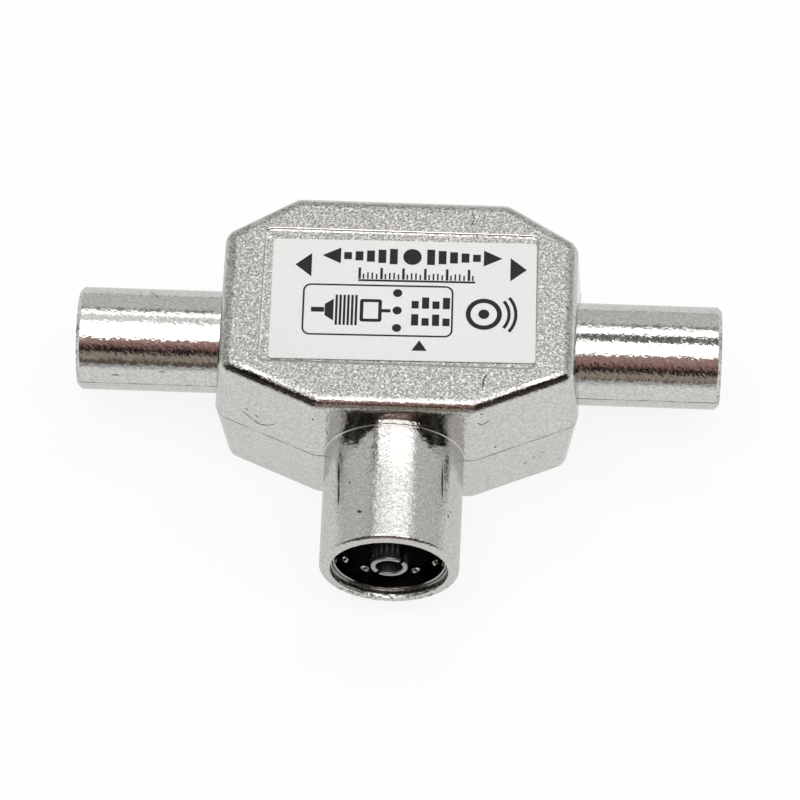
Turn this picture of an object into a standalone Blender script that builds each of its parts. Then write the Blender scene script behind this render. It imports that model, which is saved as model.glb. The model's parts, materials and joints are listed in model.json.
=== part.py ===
"""Two-way coaxial T adapter: one socket in front, one plug barrel at each side.

The housing is one zinc casting with its three port tubes. It is open underneath,
where a pressed cover closes it over a small board with two ferrite transformers.
All sizes are in metres. X runs along the side ports, the socket faces -Y, Z is up,
and the origin is on the base, under the point where the port axes cross.
"""
import math

import bmesh
import bpy
from mathutils import Matrix, Vector

# Housing outline, at the parting plane that holds the three port axes
BODY_WIDTH = 0.0334
BODY_FRONT = 0.0117
BODY_REAR = 0.01155
FRONT_CORNER_ALONG = 0.0094
FRONT_CORNER_DEEP = 0.0041
REAR_CORNER_ALONG = 0.00685
REAR_CORNER_DEEP = 0.00425
OUTLINE_RADIUS = 0.0014

# Housing heights, draft and edges
BODY_HEIGHT = 0.0172
AXIS_HEIGHT = 0.0086
UPPER_DRAFT = 0.00046
LOWER_DRAFT = 0.00086
TOP_EDGE_RADIUS = 0.0013
BOTTOM_EDGE_RADIUS = 0.0004

# Hollow inside, and the rebate for the cover
RIM_WIDTH = 0.0011
COVER_THICKNESS = 0.0008
COVER_CLEARANCE = 0.00005
LEDGE_WIDTH = 0.0006
CEILING = 0.0018
CORE_DRAFT = 0.0003
BEAD_MARGIN = 0.0020
BEAD_HEIGHT = 0.0003
BEAD_WIDTH = 0.0007

# Label and the shallow panel that it lies in
PANEL_WIDTH = 0.0255
PANEL_DEPTH = 0.0141
PANEL_CENTRE_Y = 0.00015
PANEL_RECESS = 0.00016
PANEL_RADIUS = 0.0005
LABEL_WIDTH = 0.0242
LABEL_DEPTH = 0.0127
LABEL_THICKNESS = 0.0001
LABEL_RADIUS = 0.0003
LABEL_SHIFT_X = 0.0004
LABEL_SHIFT_Y = -0.0001
LABEL_TURN = math.radians(0.75)
LABEL_GLUE = 0.00003

# Side barrels, which go into the sockets of the leads
BARREL_DIAMETER = 0.0095
BARREL_BORE = 0.0083
BARREL_REACH = 0.0297
BARREL_LIP = 0.0003
BARREL_HOLE = 0.0064
SHOULDER_INSET = 0.0006

# Front socket tube
SOCKET_ROOT_DIAMETER = 0.0128
SOCKET_MOUTH_DIAMETER = 0.0127
SOCKET_REACH = 0.0233
SOCKET_BORE = 0.0104
SOCKET_CHAMFER_WIDTH = 0.0002
SOCKET_CHAMFER_DEPTH = 0.0004
SOCKET_LIP = 0.00025
SOCKET_HOLE = 0.0080
ROOT_FILLET = 0.00025

# Contact sleeve in the socket
SLEEVE_THICKNESS = 0.0002
SLEEVE_SET_BACK = 0.0010
SLEEVE_BUMPS = 13
BUMP_SET_BACK = 0.0022
BUMP_RADIUS = 0.00045
BUMP_HEIGHT = 0.0002

# Insulators
INSULATOR_THICKNESS = 0.0026
INSULATOR_EDGE = 0.0002
SPIGOT_STANDOUT = 0.0004

# Centre contacts
PIN_DIAMETER = 0.0024
PIN_SET_BACK = 0.0010
PIN_SHANK_DIAMETER = 0.0018
FLANGE_DIAMETER = 0.0032
FLANGE_THICKNESS = 0.0005
SWAGE_DIAMETER = 0.0028
SWAGE_THICKNESS = 0.0004
TAIL_DIAMETER = 0.0012
TAIL_REACH = 0.0034
CONTACT_DIAMETER = 0.0034
CONTACT_BORE = 0.00245
CONTACT_SET_BACK = 0.0003
CONTACT_FLOOR = 0.0020
CONTACT_SLIT = 0.0004
CONTACT_SLIT_TURN = math.radians(45)
SLIT_FLOOR = 0.0010
SLIT_FLOOR_EDGE = 0.00005
CONTACT_EDGE = 0.00015
CONTACT_SHANK_DIAMETER = 0.0022

# Board and the posts that carry it
BOARD_CLEARANCE = 0.0009
BOARD_LIFT = 0.00015
BOARD_THICKNESS = 0.0010
POST_DIAMETER = 0.0024
POST_TIP_DIAMETER = 0.0011
POST_TIP_STANDOUT = 0.0006
POST_HOLE_CLEARANCE = 0.0001
POST_MARGIN = 0.0029
POST_Y = 0.0043

# Parts on the board
CORE_LENGTH = 0.0050
CORE_WIDTH = 0.0038
CORE_HEIGHT = 0.0027
CORE_HOLE = 0.0014
CORE_HOLE_PITCH = 0.0019
CORE_EDGE = 0.0003
CORE_CENTRE_Y = 0.0004
WIRE_DIAMETER = 0.0003
WIRE_HOLE_CLEARANCE = 0.0001
WINDING_TURNS = 3
WINDING_PITCH = 0.0004
LOOP_RUN = 0.0003
LEAD_RUN = 0.0018
CHIP_LENGTH = 0.0032
CHIP_WIDTH = 0.0016
CHIP_HEIGHT = 0.0007
SMALL_CHIP_LENGTH = 0.0020
SMALL_CHIP_WIDTH = 0.00125
SMALL_CHIP_HEIGHT = 0.0008
CHIP_EDGE = 0.00006
CHIP_PLATING = 0.00005
CHIP_END_SHARE = 0.2
RESISTOR_MARGIN = 0.0020
INPUT_CHIP_MARGIN = 0.0023
OUTPUT_CHIP_MARGIN = 0.0031
JOINT_RADIUS = 0.0011
JOINT_HEIGHT = 0.0016
JOINT_OVERLAP = 0.0007
GROUND_JOINT_RADIUS = 0.0012
GROUND_JOINT_HEIGHT = 0.0005

# Clearances between separate pieces
PRESS_FIT = 0.00003
SEAT = 0.00005

ROUND_SEGMENTS = 48
SMALL_SEGMENTS = 20
FINE_SEGMENTS = 14
BUMP_SEGMENTS = 8
CONTACT_SEGMENTS = 32
MERGE = 0.000001
OVERSHOOT = 0.001
TUBE_ROOT = 0.002

# Directions in which a turned solid's own Z axis points
TOWARDS_LEFT = (0, -math.pi / 2, 0)
TOWARDS_RIGHT = (0, math.pi / 2, 0)
TOWARDS_FRONT = (math.pi / 2, 0, 0)

# Levels and places that follow from the sizes
HALF_WIDTH = BODY_WIDTH / 2
REBATE_INSET = LOWER_DRAFT + RIM_WIDTH
CAVITY_INSET = REBATE_INSET + LEDGE_WIDTH
CEILING_LEVEL = BODY_HEIGHT - CEILING
SIDE_SHOULDER = HALF_WIDTH - SHOULDER_INSET
FRONT_SHOULDER = BODY_FRONT - SHOULDER_INSET
SIDE_WALL = HALF_WIDTH - CAVITY_INSET
FRONT_WALL = BODY_FRONT - CAVITY_INSET
BOARD_INSET = CAVITY_INSET + BOARD_CLEARANCE
BOARD_UNDERSIDE = AXIS_HEIGHT + TAIL_DIAMETER / 2 + BOARD_LIFT
BOARD_TOP = BOARD_UNDERSIDE + BOARD_THICKNESS
POST_X = HALF_WIDTH - BOARD_INSET - POST_MARGIN
OUTPUT_CHIP_X = HALF_WIDTH - BOARD_INSET - OUTPUT_CHIP_MARGIN
CORE_X = (OUTPUT_CHIP_X - SMALL_CHIP_LENGTH / 2) / 2
RESISTOR_Y = BODY_REAR - BOARD_INSET - RESISTOR_MARGIN
INPUT_CHIP_Y = -(BODY_FRONT - BOARD_INSET - INPUT_CHIP_MARGIN)


def clear_scene():
    """Start from an empty file."""
    for item in list(bpy.data.objects):
        bpy.data.objects.remove(item, do_unlink=True)


def make_material(name, colour, metallic, roughness):
    """A Principled material with one colour."""
    material = bpy.data.materials.new(name)
    material.use_nodes = True
    shader = material.node_tree.nodes["Principled BSDF"]
    shader.inputs["Base Color"].default_value = (*colour, 1.0)
    shader.inputs["Metallic"].default_value = metallic
    shader.inputs["Roughness"].default_value = roughness
    return material


def add_object(name, bm, material, location=(0, 0, 0), rotation=(0, 0, 0)):
    """Turn a bmesh into a placed object with smooth round faces and sharp edges."""
    bmesh.ops.recalc_face_normals(bm, faces=bm.faces)
    mesh = bpy.data.meshes.new(name)
    bm.to_mesh(mesh)
    bm.free()
    mesh.shade_smooth()
    mesh.set_sharp_from_angle(angle=math.radians(30))
    item = bpy.data.objects.new(name, mesh)
    bpy.context.scene.collection.objects.link(item)
    item.location = location
    item.rotation_euler = rotation
    if material is not None:
        mesh.materials.append(material)
    return item


def combine(target, tool, operation):
    """Cut, join or intersect target with tool, and remove tool."""
    modifier = target.modifiers.new(operation.lower(), "BOOLEAN")
    modifier.object = tool
    modifier.operation = operation
    modifier.solver = "EXACT"
    graph = bpy.context.evaluated_depsgraph_get()
    graph.update()
    result = bpy.data.meshes.new_from_object(target.evaluated_get(graph))
    target.modifiers.clear()
    bm = bmesh.new()
    bm.from_mesh(result)
    bmesh.ops.remove_doubles(bm, verts=bm.verts, dist=MERGE)
    bm.to_mesh(result)
    bm.free()
    old = target.data
    target.data = result
    bpy.data.meshes.remove(old)
    bpy.data.objects.remove(tool, do_unlink=True)


# Outlines
def housing_corners(inset):
    """The eight corners of the housing outline, moved inwards by inset."""
    front, rear = -BODY_FRONT, BODY_REAR
    corners = [
        Vector((-HALF_WIDTH, front + FRONT_CORNER_DEEP)),
        Vector((-HALF_WIDTH + FRONT_CORNER_ALONG, front)),
        Vector((HALF_WIDTH - FRONT_CORNER_ALONG, front)),
        Vector((HALF_WIDTH, front + FRONT_CORNER_DEEP)),
        Vector((HALF_WIDTH, rear - REAR_CORNER_DEEP)),
        Vector((HALF_WIDTH - REAR_CORNER_ALONG, rear)),
        Vector((-HALF_WIDTH + REAR_CORNER_ALONG, rear)),
        Vector((-HALF_WIDTH, rear - REAR_CORNER_DEEP)),
    ]
    return [inset_corner(corners, index, inset) for index in range(len(corners))]


def inset_corner(corners, index, inset):
    """One corner of a convex outline, moved so that both its sides shift inwards by inset."""
    here = corners[index]
    before = (here - corners[index - 1]).normalized()
    after = (corners[(index + 1) % len(corners)] - here).normalized()
    inward_before = Vector((-before.y, before.x))
    inward_after = Vector((-after.y, after.x))
    middle = (inward_before + inward_after).normalized()
    return here + middle * (inset / middle.dot(inward_before))


def rounded(corners, radius, steps):
    """A convex outline with each corner replaced by an arc."""
    points = []
    for index, here in enumerate(corners):
        before = (here - corners[index - 1]).normalized()
        after = (corners[(index + 1) % len(corners)] - here).normalized()
        turn = before.angle(after)
        start = here - before * (radius * math.tan(turn / 2))
        centre = start + Vector((-before.y, before.x)) * radius
        for step in range(steps + 1):
            angle = turn * step / steps
            arm = start - centre
            spun = Vector((arm.x * math.cos(angle) - arm.y * math.sin(angle),
                           arm.x * math.sin(angle) + arm.y * math.cos(angle)))
            points.append(centre + spun)
    return points


def housing_outline(inset, steps=3):
    """The housing outline at one level, with its rounded upright corners."""
    return rounded(housing_corners(inset), OUTLINE_RADIUS, steps)


def rectangle(width, depth):
    """Corners of a rectangle about the origin."""
    return [Vector((-width / 2, -depth / 2)), Vector((width / 2, -depth / 2)),
            Vector((width / 2, depth / 2)), Vector((-width / 2, depth / 2))]


# Solids
def loft(sections):
    """A closed solid through outlines of like points: sections holds (outline, height) pairs."""
    bm = bmesh.new()
    rings = []
    for outline, height in sections:
        rings.append([bm.verts.new((point.x, point.y, height)) for point in outline])
    count = len(rings[0])
    for lower, upper in zip(rings, rings[1:]):
        for index in range(count):
            following = (index + 1) % count
            bm.faces.new((lower[index], lower[following], upper[following], upper[index]))
    bm.faces.new(list(reversed(rings[0])))
    bm.faces.new(rings[-1])
    return bm


def turned(profile, segments, closed=False):
    """A turned solid about Z: profile holds (radius, height) pairs, a loop where closed."""
    bm = bmesh.new()
    points = [bm.verts.new((radius, 0, height)) for radius, height in profile]
    edges = [bm.edges.new(pair) for pair in zip(points, points[1:])]
    if closed:
        edges.append(bm.edges.new((points[-1], points[0])))
    bmesh.ops.spin(bm, geom=points + edges, cent=(0, 0, 0), axis=(0, 0, 1), angle=math.tau,
                   steps=segments, use_merge=True, use_duplicate=False)
    bmesh.ops.remove_doubles(bm, verts=bm.verts, dist=MERGE)
    return bm


def arc(centre_radius, centre_height, radius, start, end, steps):
    """Profile points on an arc, angles in degrees from the outward radius."""
    points = []
    for step in range(steps + 1):
        angle = math.radians(start + (end - start) * step / steps)
        points.append((centre_radius + radius * math.cos(angle), centre_height + radius * math.sin(angle)))
    return points


def block(width, depth, height, bevel):
    """A block about the origin with bevelled edges."""
    bm = bmesh.new()
    bmesh.ops.create_cube(bm, size=1.0)
    bmesh.ops.scale(bm, vec=(width, depth, height), verts=bm.verts)
    bmesh.ops.bevel(bm, geom=bm.edges[:], offset=bevel, segments=1, profile=0.5, affect="EDGES",
                    material=-1)
    return bm


def housing_body():
    """The block of the casting, drafted both ways from the parting plane."""
    sections = []
    for radius, height in arc(0, BOTTOM_EDGE_RADIUS, BOTTOM_EDGE_RADIUS, -90, 0, 3):
        sections.append((housing_outline(LOWER_DRAFT + BOTTOM_EDGE_RADIUS - radius), height))
    sections.append((housing_outline(0), AXIS_HEIGHT))
    for radius, height in arc(0, BODY_HEIGHT - TOP_EDGE_RADIUS, TOP_EDGE_RADIUS, 0, 90, 4):
        sections.append((housing_outline(UPPER_DRAFT + TOP_EDGE_RADIUS - radius), height))
    return loft(sections)


def barrel_tube():
    """The bar that becomes a side barrel, from inside the body to its rounded lip."""
    radius = BARREL_DIAMETER / 2
    lip = arc(radius - BARREL_LIP, BARREL_REACH - BARREL_LIP, BARREL_LIP, 0, 90, 3)
    return turned([(0, TUBE_ROOT), (radius, TUBE_ROOT)] + lip + [(0, BARREL_REACH)], ROUND_SEGMENTS)


def socket_tube():
    """The bar that becomes the front socket, with its root fillet and slight taper."""
    root = SOCKET_ROOT_DIAMETER / 2
    mouth = SOCKET_MOUTH_DIAMETER / 2
    fillet = arc(root + ROOT_FILLET, BODY_FRONT + ROOT_FILLET, ROOT_FILLET, -90, -180, 3)
    lip = arc(mouth - SOCKET_LIP, SOCKET_REACH - SOCKET_LIP, SOCKET_LIP, 0, 90, 3)
    profile = [(0, TUBE_ROOT), (root + ROOT_FILLET, TUBE_ROOT)] + fillet + lip + [(0, SOCKET_REACH)]
    return turned(profile, ROUND_SEGMENTS)


def barrel_bore():
    """The stepped hole along one side barrel, down to the hollow."""
    bore = BARREL_BORE / 2
    hole = BARREL_HOLE / 2
    start = SIDE_WALL - OVERSHOOT
    past = BARREL_REACH + OVERSHOOT
    return turned([(0, start), (hole, start), (hole, SIDE_SHOULDER), (bore, SIDE_SHOULDER),
                   (bore, past), (0, past)], ROUND_SEGMENTS)


def socket_bore():
    """The stepped hole of the front socket with its entry chamfer."""
    bore = SOCKET_BORE / 2
    hole = SOCKET_HOLE / 2
    start = FRONT_WALL - OVERSHOOT
    past = SOCKET_REACH + OVERSHOOT
    wide = bore + SOCKET_CHAMFER_WIDTH
    return turned([(0, start), (hole, start), (hole, FRONT_SHOULDER), (bore, FRONT_SHOULDER),
                   (bore, SOCKET_REACH - SOCKET_CHAMFER_DEPTH), (wide, SOCKET_REACH), (wide, past),
                   (0, past)], ROUND_SEGMENTS)


def make_housing(metal):
    """The casting: body, three port tubes, hollow, cover rebate, board posts and label panel."""
    housing = add_object("housing", housing_body(), metal)
    axis_point = (0, 0, AXIS_HEIGHT)
    for name, tube, rotation in (("left_tube", barrel_tube(), TOWARDS_LEFT),
                                 ("right_tube", barrel_tube(), TOWARDS_RIGHT),
                                 ("front_tube", socket_tube(), TOWARDS_FRONT)):
        combine(housing, add_object(name, tube, metal, axis_point, rotation), "UNION")

    hollow = loft([(housing_outline(CAVITY_INSET), COVER_THICKNESS / 2),
                   (housing_outline(CAVITY_INSET + CORE_DRAFT), CEILING_LEVEL)])
    combine(housing, add_object("hollow", hollow, metal), "DIFFERENCE")
    rebate = loft([(housing_outline(REBATE_INSET), -COVER_THICKNESS),
                   (housing_outline(REBATE_INSET), COVER_THICKNESS + SEAT)])
    combine(housing, add_object("rebate", rebate, metal), "DIFFERENCE")

    for x in (-POST_X, POST_X):
        for y in (-POST_Y, POST_Y):
            combine(housing, add_object("post", board_post(), metal, (x, y, 0)), "UNION")

    for name, bore, rotation in (("left_bore", barrel_bore(), TOWARDS_LEFT),
                                 ("right_bore", barrel_bore(), TOWARDS_RIGHT),
                                 ("front_bore", socket_bore(), TOWARDS_FRONT)):
        combine(housing, add_object(name, bore, metal, axis_point, rotation), "DIFFERENCE")

    outline = rounded(rectangle(PANEL_WIDTH, PANEL_DEPTH), PANEL_RADIUS, 3)
    panel = loft([(outline, BODY_HEIGHT - PANEL_RECESS), (outline, BODY_HEIGHT + PANEL_RECESS)])
    combine(housing, add_object("panel", panel, metal, (0, PANEL_CENTRE_Y, 0)), "DIFFERENCE")
    return housing


def board_post():
    """A post that hangs from the ceiling, with a shoulder for the board and a thin tip through it."""
    post = POST_DIAMETER / 2
    tip = POST_TIP_DIAMETER / 2
    end = BOARD_UNDERSIDE - POST_TIP_STANDOUT
    shoulder = BOARD_TOP + SEAT
    return turned([(0, end), (tip, end), (tip, shoulder), (post, shoulder),
                   (post, CEILING_LEVEL + CEILING / 2), (0, CEILING_LEVEL + CEILING / 2)], SMALL_SEGMENTS)


def make_cover(metal):
    """The pressed cover with a stiffening bead, flush with the rim of the casting."""
    edge = REBATE_INSET + COVER_CLEARANCE
    bead = edge + BEAD_MARGIN
    crest = bead + BEAD_HEIGHT
    far_crest = crest + BEAD_WIDTH
    far_bead = far_crest + BEAD_HEIGHT
    top = COVER_THICKNESS
    path = [(far_bead, 0), (far_crest, BEAD_HEIGHT), (crest, BEAD_HEIGHT), (bead, 0), (edge, 0),
            (edge, top), (bead, top), (crest, top + BEAD_HEIGHT), (far_crest, top + BEAD_HEIGHT),
            (far_bead, top)]
    sections = [(housing_outline(inset, 2), height) for inset, height in path]
    return add_object("bottom_cover", loft(sections), metal)


def make_label(paper):
    """The printed label, stuck in the panel slightly askew."""
    outline = rounded(rectangle(LABEL_WIDTH, LABEL_DEPTH), LABEL_RADIUS, 3)
    base = BODY_HEIGHT - PANEL_RECESS + LABEL_GLUE
    place = (LABEL_SHIFT_X, PANEL_CENTRE_Y + LABEL_SHIFT_Y, base)
    sheet = loft([(outline, 0), (outline, LABEL_THICKNESS)])
    return add_object("label", sheet, paper, place, (0, 0, LABEL_TURN))


def make_contact_sleeve(metal):
    """The sprung lining of the socket, with a ring of bumps that grip the lead's barrel."""
    outer = SOCKET_BORE / 2 - PRESS_FIT
    inner = outer - SLEEVE_THICKNESS
    mouth = SOCKET_REACH - SLEEVE_SET_BACK
    base = FRONT_SHOULDER + INSULATOR_THICKNESS + SEAT
    wall = [(inner, base), (outer, base), (outer, mouth), (inner, mouth)]
    sleeve = add_object("in_contact_sleeve", turned(wall, ROUND_SEGMENTS, closed=True), metal)
    foot = inner + SLEEVE_THICKNESS / 2
    depth = BUMP_HEIGHT + SLEEVE_THICKNESS / 2
    dome = [(0, 0), (BUMP_RADIUS, 0)] + [
        (BUMP_RADIUS * math.cos(angle), depth * math.sin(angle))
        for angle in (math.radians(30), math.radians(60))] + [(0, depth)]
    for index in range(SLEEVE_BUMPS):
        turn = math.tau * index / SLEEVE_BUMPS - math.pi / 2
        outward = Vector((math.cos(turn), math.sin(turn), 0))
        bump = add_object("bump", turned(dome, BUMP_SEGMENTS), metal)
        bump.rotation_euler = (-outward).to_track_quat("Z", "Y").to_euler()
        bump.location = outward * foot + Vector((0, 0, SOCKET_REACH - BUMP_SET_BACK))
        combine(sleeve, bump, "UNION")
    sleeve.location = (0, 0, AXIS_HEIGHT)
    sleeve.rotation_euler = TOWARDS_FRONT
    return sleeve


def make_insulator(name, plastic, bore, hole, shoulder, wall, contact_hole, rotation):
    """A stepped plastic disc pressed to the shoulder of a port, with a spigot into the hollow."""
    rim = bore / 2 - PRESS_FIT
    spigot = hole / 2 - PRESS_FIT
    eye = contact_hole / 2
    inside = wall - SPIGOT_STANDOUT
    seat = shoulder + SEAT
    face = shoulder + INSULATOR_THICKNESS
    profile = [(eye, inside), (spigot, inside), (spigot, seat), (rim, seat),
               (rim, face - INSULATOR_EDGE), (rim - INSULATOR_EDGE, face), (eye, face)]
    solid = turned(profile, ROUND_SEGMENTS, closed=True)
    return add_object(name, solid, plastic, (0, 0, AXIS_HEIGHT), rotation)


def tail_profile(spigot_end):
    """The inner end of a contact: thin tail, then the head swaged against its insulator."""
    tail = TAIL_DIAMETER / 2
    head = SWAGE_DIAMETER / 2
    end = spigot_end - TAIL_REACH
    return [(0, end), (tail, end), (tail, spigot_end - SWAGE_THICKNESS),
            (head, spigot_end - SWAGE_THICKNESS), (head, spigot_end)]


def make_side_pin(name, metal, rotation):
    """A side port's centre pin: round-nosed blade, shank through the insulator, thin tail."""
    pin = PIN_DIAMETER / 2
    shank = PIN_SHANK_DIAMETER / 2
    flange = SIDE_SHOULDER + INSULATOR_THICKNESS + SEAT
    spigot_end = SIDE_WALL - SPIGOT_STANDOUT - SEAT
    tip = BARREL_REACH - PIN_SET_BACK
    profile = tail_profile(spigot_end)
    profile += [(shank, spigot_end), (shank, flange), (FLANGE_DIAMETER / 2, flange),
                (FLANGE_DIAMETER / 2, flange + FLANGE_THICKNESS), (pin, flange + FLANGE_THICKNESS)]
    profile += arc(0, tip - pin, pin, 0, 90, 5)[:-1] + [(0, tip)]
    return add_object(name, turned(profile, SMALL_SEGMENTS), metal, (0, 0, AXIS_HEIGHT), rotation)


def make_socket_contact(metal):
    """The socket's centre contact: a tube split across its end, on a shank with a thin tail."""
    outer = CONTACT_DIAMETER / 2
    bore = CONTACT_BORE / 2
    shank = CONTACT_SHANK_DIAMETER / 2
    flange = FRONT_SHOULDER + INSULATOR_THICKNESS + SEAT
    spigot_end = FRONT_WALL - SPIGOT_STANDOUT - SEAT
    mouth = SOCKET_REACH - CONTACT_SET_BACK
    hole_end = flange + CONTACT_FLOOR
    slit_depth = mouth - hole_end - SLIT_FLOOR
    profile = tail_profile(spigot_end)
    profile += [(shank, spigot_end), (shank, flange), (outer, flange), (outer, mouth - CONTACT_EDGE),
                (outer - CONTACT_EDGE, mouth), (bore + CONTACT_EDGE, mouth), (bore, mouth - CONTACT_EDGE),
                (bore, hole_end), (0, hole_end - bore / 2)]
    contact = add_object("in_socket_contact", turned(profile, CONTACT_SEGMENTS), metal)
    slit = block(CONTACT_DIAMETER * 2, CONTACT_SLIT, slit_depth * 2, SLIT_FLOOR_EDGE)
    combine(contact, add_object("slit", slit, metal, (0, 0, mouth), (0, 0, CONTACT_SLIT_TURN)), "DIFFERENCE")
    contact.location = (0, 0, AXIS_HEIGHT)
    contact.rotation_euler = TOWARDS_FRONT
    return contact


def make_board(laminate):
    """The circuit board, cut to follow the hollow, with holes for the post tips and winding ends."""
    outline = housing_outline(BOARD_INSET, 2)
    board = add_object("circuit_board", loft([(outline, BOARD_UNDERSIDE), (outline, BOARD_TOP)]), laminate)
    for x in (-POST_X, POST_X):
        for y in (-POST_Y, POST_Y):
            drill(board, x, y, POST_TIP_DIAMETER + 2 * POST_HOLE_CLEARANCE)
    for centre in (-CORE_X, CORE_X):
        for side in (-1, 1):
            x = centre + side * CORE_HOLE_PITCH / 2
            drill(board, x, lead_place(), WIRE_DIAMETER + 2 * WIRE_HOLE_CLEARANCE)
    return board


def drill(board, x, y, diameter):
    """One round hole through the board."""
    radius = diameter / 2
    low = BOARD_UNDERSIDE - BOARD_THICKNESS
    high = BOARD_TOP + BOARD_THICKNESS
    tool = turned([(0, low), (radius, low), (radius, high), (0, high)], FINE_SEGMENTS)
    combine(board, add_object("drill", tool, None, (x, y, 0)), "DIFFERENCE")


def lead_place():
    """How far forward the ends of a winding go down into the board."""
    return CORE_CENTRE_Y - CORE_LENGTH / 2 - LEAD_RUN


def make_core(name, ferrite, x):
    """A two-hole ferrite core lying on the board."""
    height = BOARD_TOP + SEAT + CORE_HEIGHT / 2
    solid = block(CORE_WIDTH, CORE_LENGTH, CORE_HEIGHT, CORE_EDGE)
    core = add_object(name, solid, ferrite, (x, CORE_CENTRE_Y, height))
    radius = CORE_HOLE / 2
    reach = CORE_LENGTH
    for side in (-1, 1):
        hole = turned([(0, -reach), (radius, -reach), (radius, reach), (0, reach)], FINE_SEGMENTS)
        place = (x + side * CORE_HOLE_PITCH / 2, CORE_CENTRE_Y, height)
        combine(core, add_object("hole", hole, None, place, TOWARDS_FRONT), "DIFFERENCE")
    return core


def make_winding(name, copper, x):
    """Wire looped through both holes of a core, its two ends turned down into the board."""
    radius = CORE_HOLE_PITCH / 2
    level = BOARD_TOP + SEAT + CORE_HEIGHT / 2
    passes = 2 * WINDING_TURNS
    step = WINDING_PITCH / 2
    lowest = level - step * (passes - 1) / 2
    back = CORE_CENTRE_Y + CORE_LENGTH / 2 + LOOP_RUN
    front = CORE_CENTRE_Y - CORE_LENGTH / 2 - LOOP_RUN
    bend = WIRE_DIAMETER
    foot = BOARD_TOP - BOARD_THICKNESS
    points = [(x + radius, lead_place(), foot), (x + radius, lead_place(), lowest - bend),
              (x + radius, lead_place() + bend, lowest)]
    for index in range(passes):
        side = 1 if index % 2 == 0 else -1
        start, end = (front, back) if side == 1 else (back, front)
        height = lowest + index * step
        points += [(x + side * radius, start, height), (x + side * radius, end, height)]
        if index == passes - 1:
            break
        for part in range(1, 6):
            angle = math.pi * part / 6
            points.append((x + side * radius * math.cos(angle), end + side * radius * math.sin(angle),
                           height + step * part / 6))
    last = points.pop()
    points += [(last[0], lead_place() + bend, last[2]), (last[0], lead_place(), last[2] - bend),
               (last[0], lead_place(), foot)]
    return wire(name, copper, points, WIRE_DIAMETER)


def wire(name, copper, points, diameter):
    """A round wire along points, with closed ends."""
    curve = bpy.data.curves.new(name, "CURVE")
    curve.dimensions = "3D"
    curve.bevel_depth = diameter / 2
    curve.bevel_resolution = 1
    curve.use_fill_caps = True
    spline = curve.splines.new("POLY")
    spline.points.add(len(points) - 1)
    for target, point in zip(spline.points, points):
        target.co = (*point, 1.0)
    curve.materials.append(copper)
    item = bpy.data.objects.new(name, curve)
    bpy.context.scene.collection.objects.link(item)
    return item


def make_chip(name, ceramic, size, x, y, turn=0.0):
    """A chip part on the board, a little thicker at its two plated ends."""
    length, width, height = size
    chip = add_object(name, block(length, width, height, CHIP_EDGE), ceramic,
                      (x, y, BOARD_TOP + SEAT + CHIP_PLATING + height / 2), (0, 0, turn))
    for side in (-1, 1):
        end = block(length * CHIP_END_SHARE, width + 2 * CHIP_PLATING, height + 2 * CHIP_PLATING, CHIP_EDGE)
        offset = Matrix.Rotation(turn, 3, "Z") @ Vector((side * length * (1 - CHIP_END_SHARE) / 2, 0, 0))
        place = Vector((x, y, BOARD_TOP + SEAT + CHIP_PLATING + height / 2)) + offset
        combine(chip, add_object("end", end, ceramic, place, (0, 0, turn)), "UNION")
    return chip


def make_tail_joint(name, solder, x, y, towards):
    """Solder under the board round the end of a contact's tail."""
    dome = turned([(0, 0), (JOINT_RADIUS, 0)] + [
        (JOINT_RADIUS * math.cos(math.radians(angle)), JOINT_HEIGHT * math.sin(math.radians(angle)))
        for angle in (25, 50, 75)] + [(0, JOINT_HEIGHT)], SMALL_SEGMENTS)
    joint = add_object(name, dome, solder, (x, y, BOARD_UNDERSIDE - PRESS_FIT), (math.pi, 0, 0))
    radius = TAIL_DIAMETER / 2 + PRESS_FIT
    end = -JOINT_OVERLAP - PRESS_FIT
    reach = 2 * JOINT_RADIUS
    tail = turned([(0, end), (radius, end), (radius, reach), (0, reach)], SMALL_SEGMENTS)
    place = Vector((x, y, AXIS_HEIGHT))
    combine(joint, add_object("tail", tail, None, place, towards), "DIFFERENCE")
    return joint


def make_ground_joint(name, solder, x, y):
    """A ring of solder between a post tip and the underside of the board."""
    hole = POST_TIP_DIAMETER / 2 + PRESS_FIT
    width = GROUND_JOINT_RADIUS - hole
    profile = [(hole, 0), (GROUND_JOINT_RADIUS, 0)] + [
        (hole + width * math.cos(math.radians(angle)), GROUND_JOINT_HEIGHT * math.sin(math.radians(angle)))
        for angle in (30, 60)] + [(hole, GROUND_JOINT_HEIGHT)]
    ring = turned(profile, FINE_SEGMENTS, closed=True)
    return add_object(name, ring, solder, (x, y, BOARD_UNDERSIDE - PRESS_FIT), (math.pi, 0, 0))


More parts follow.
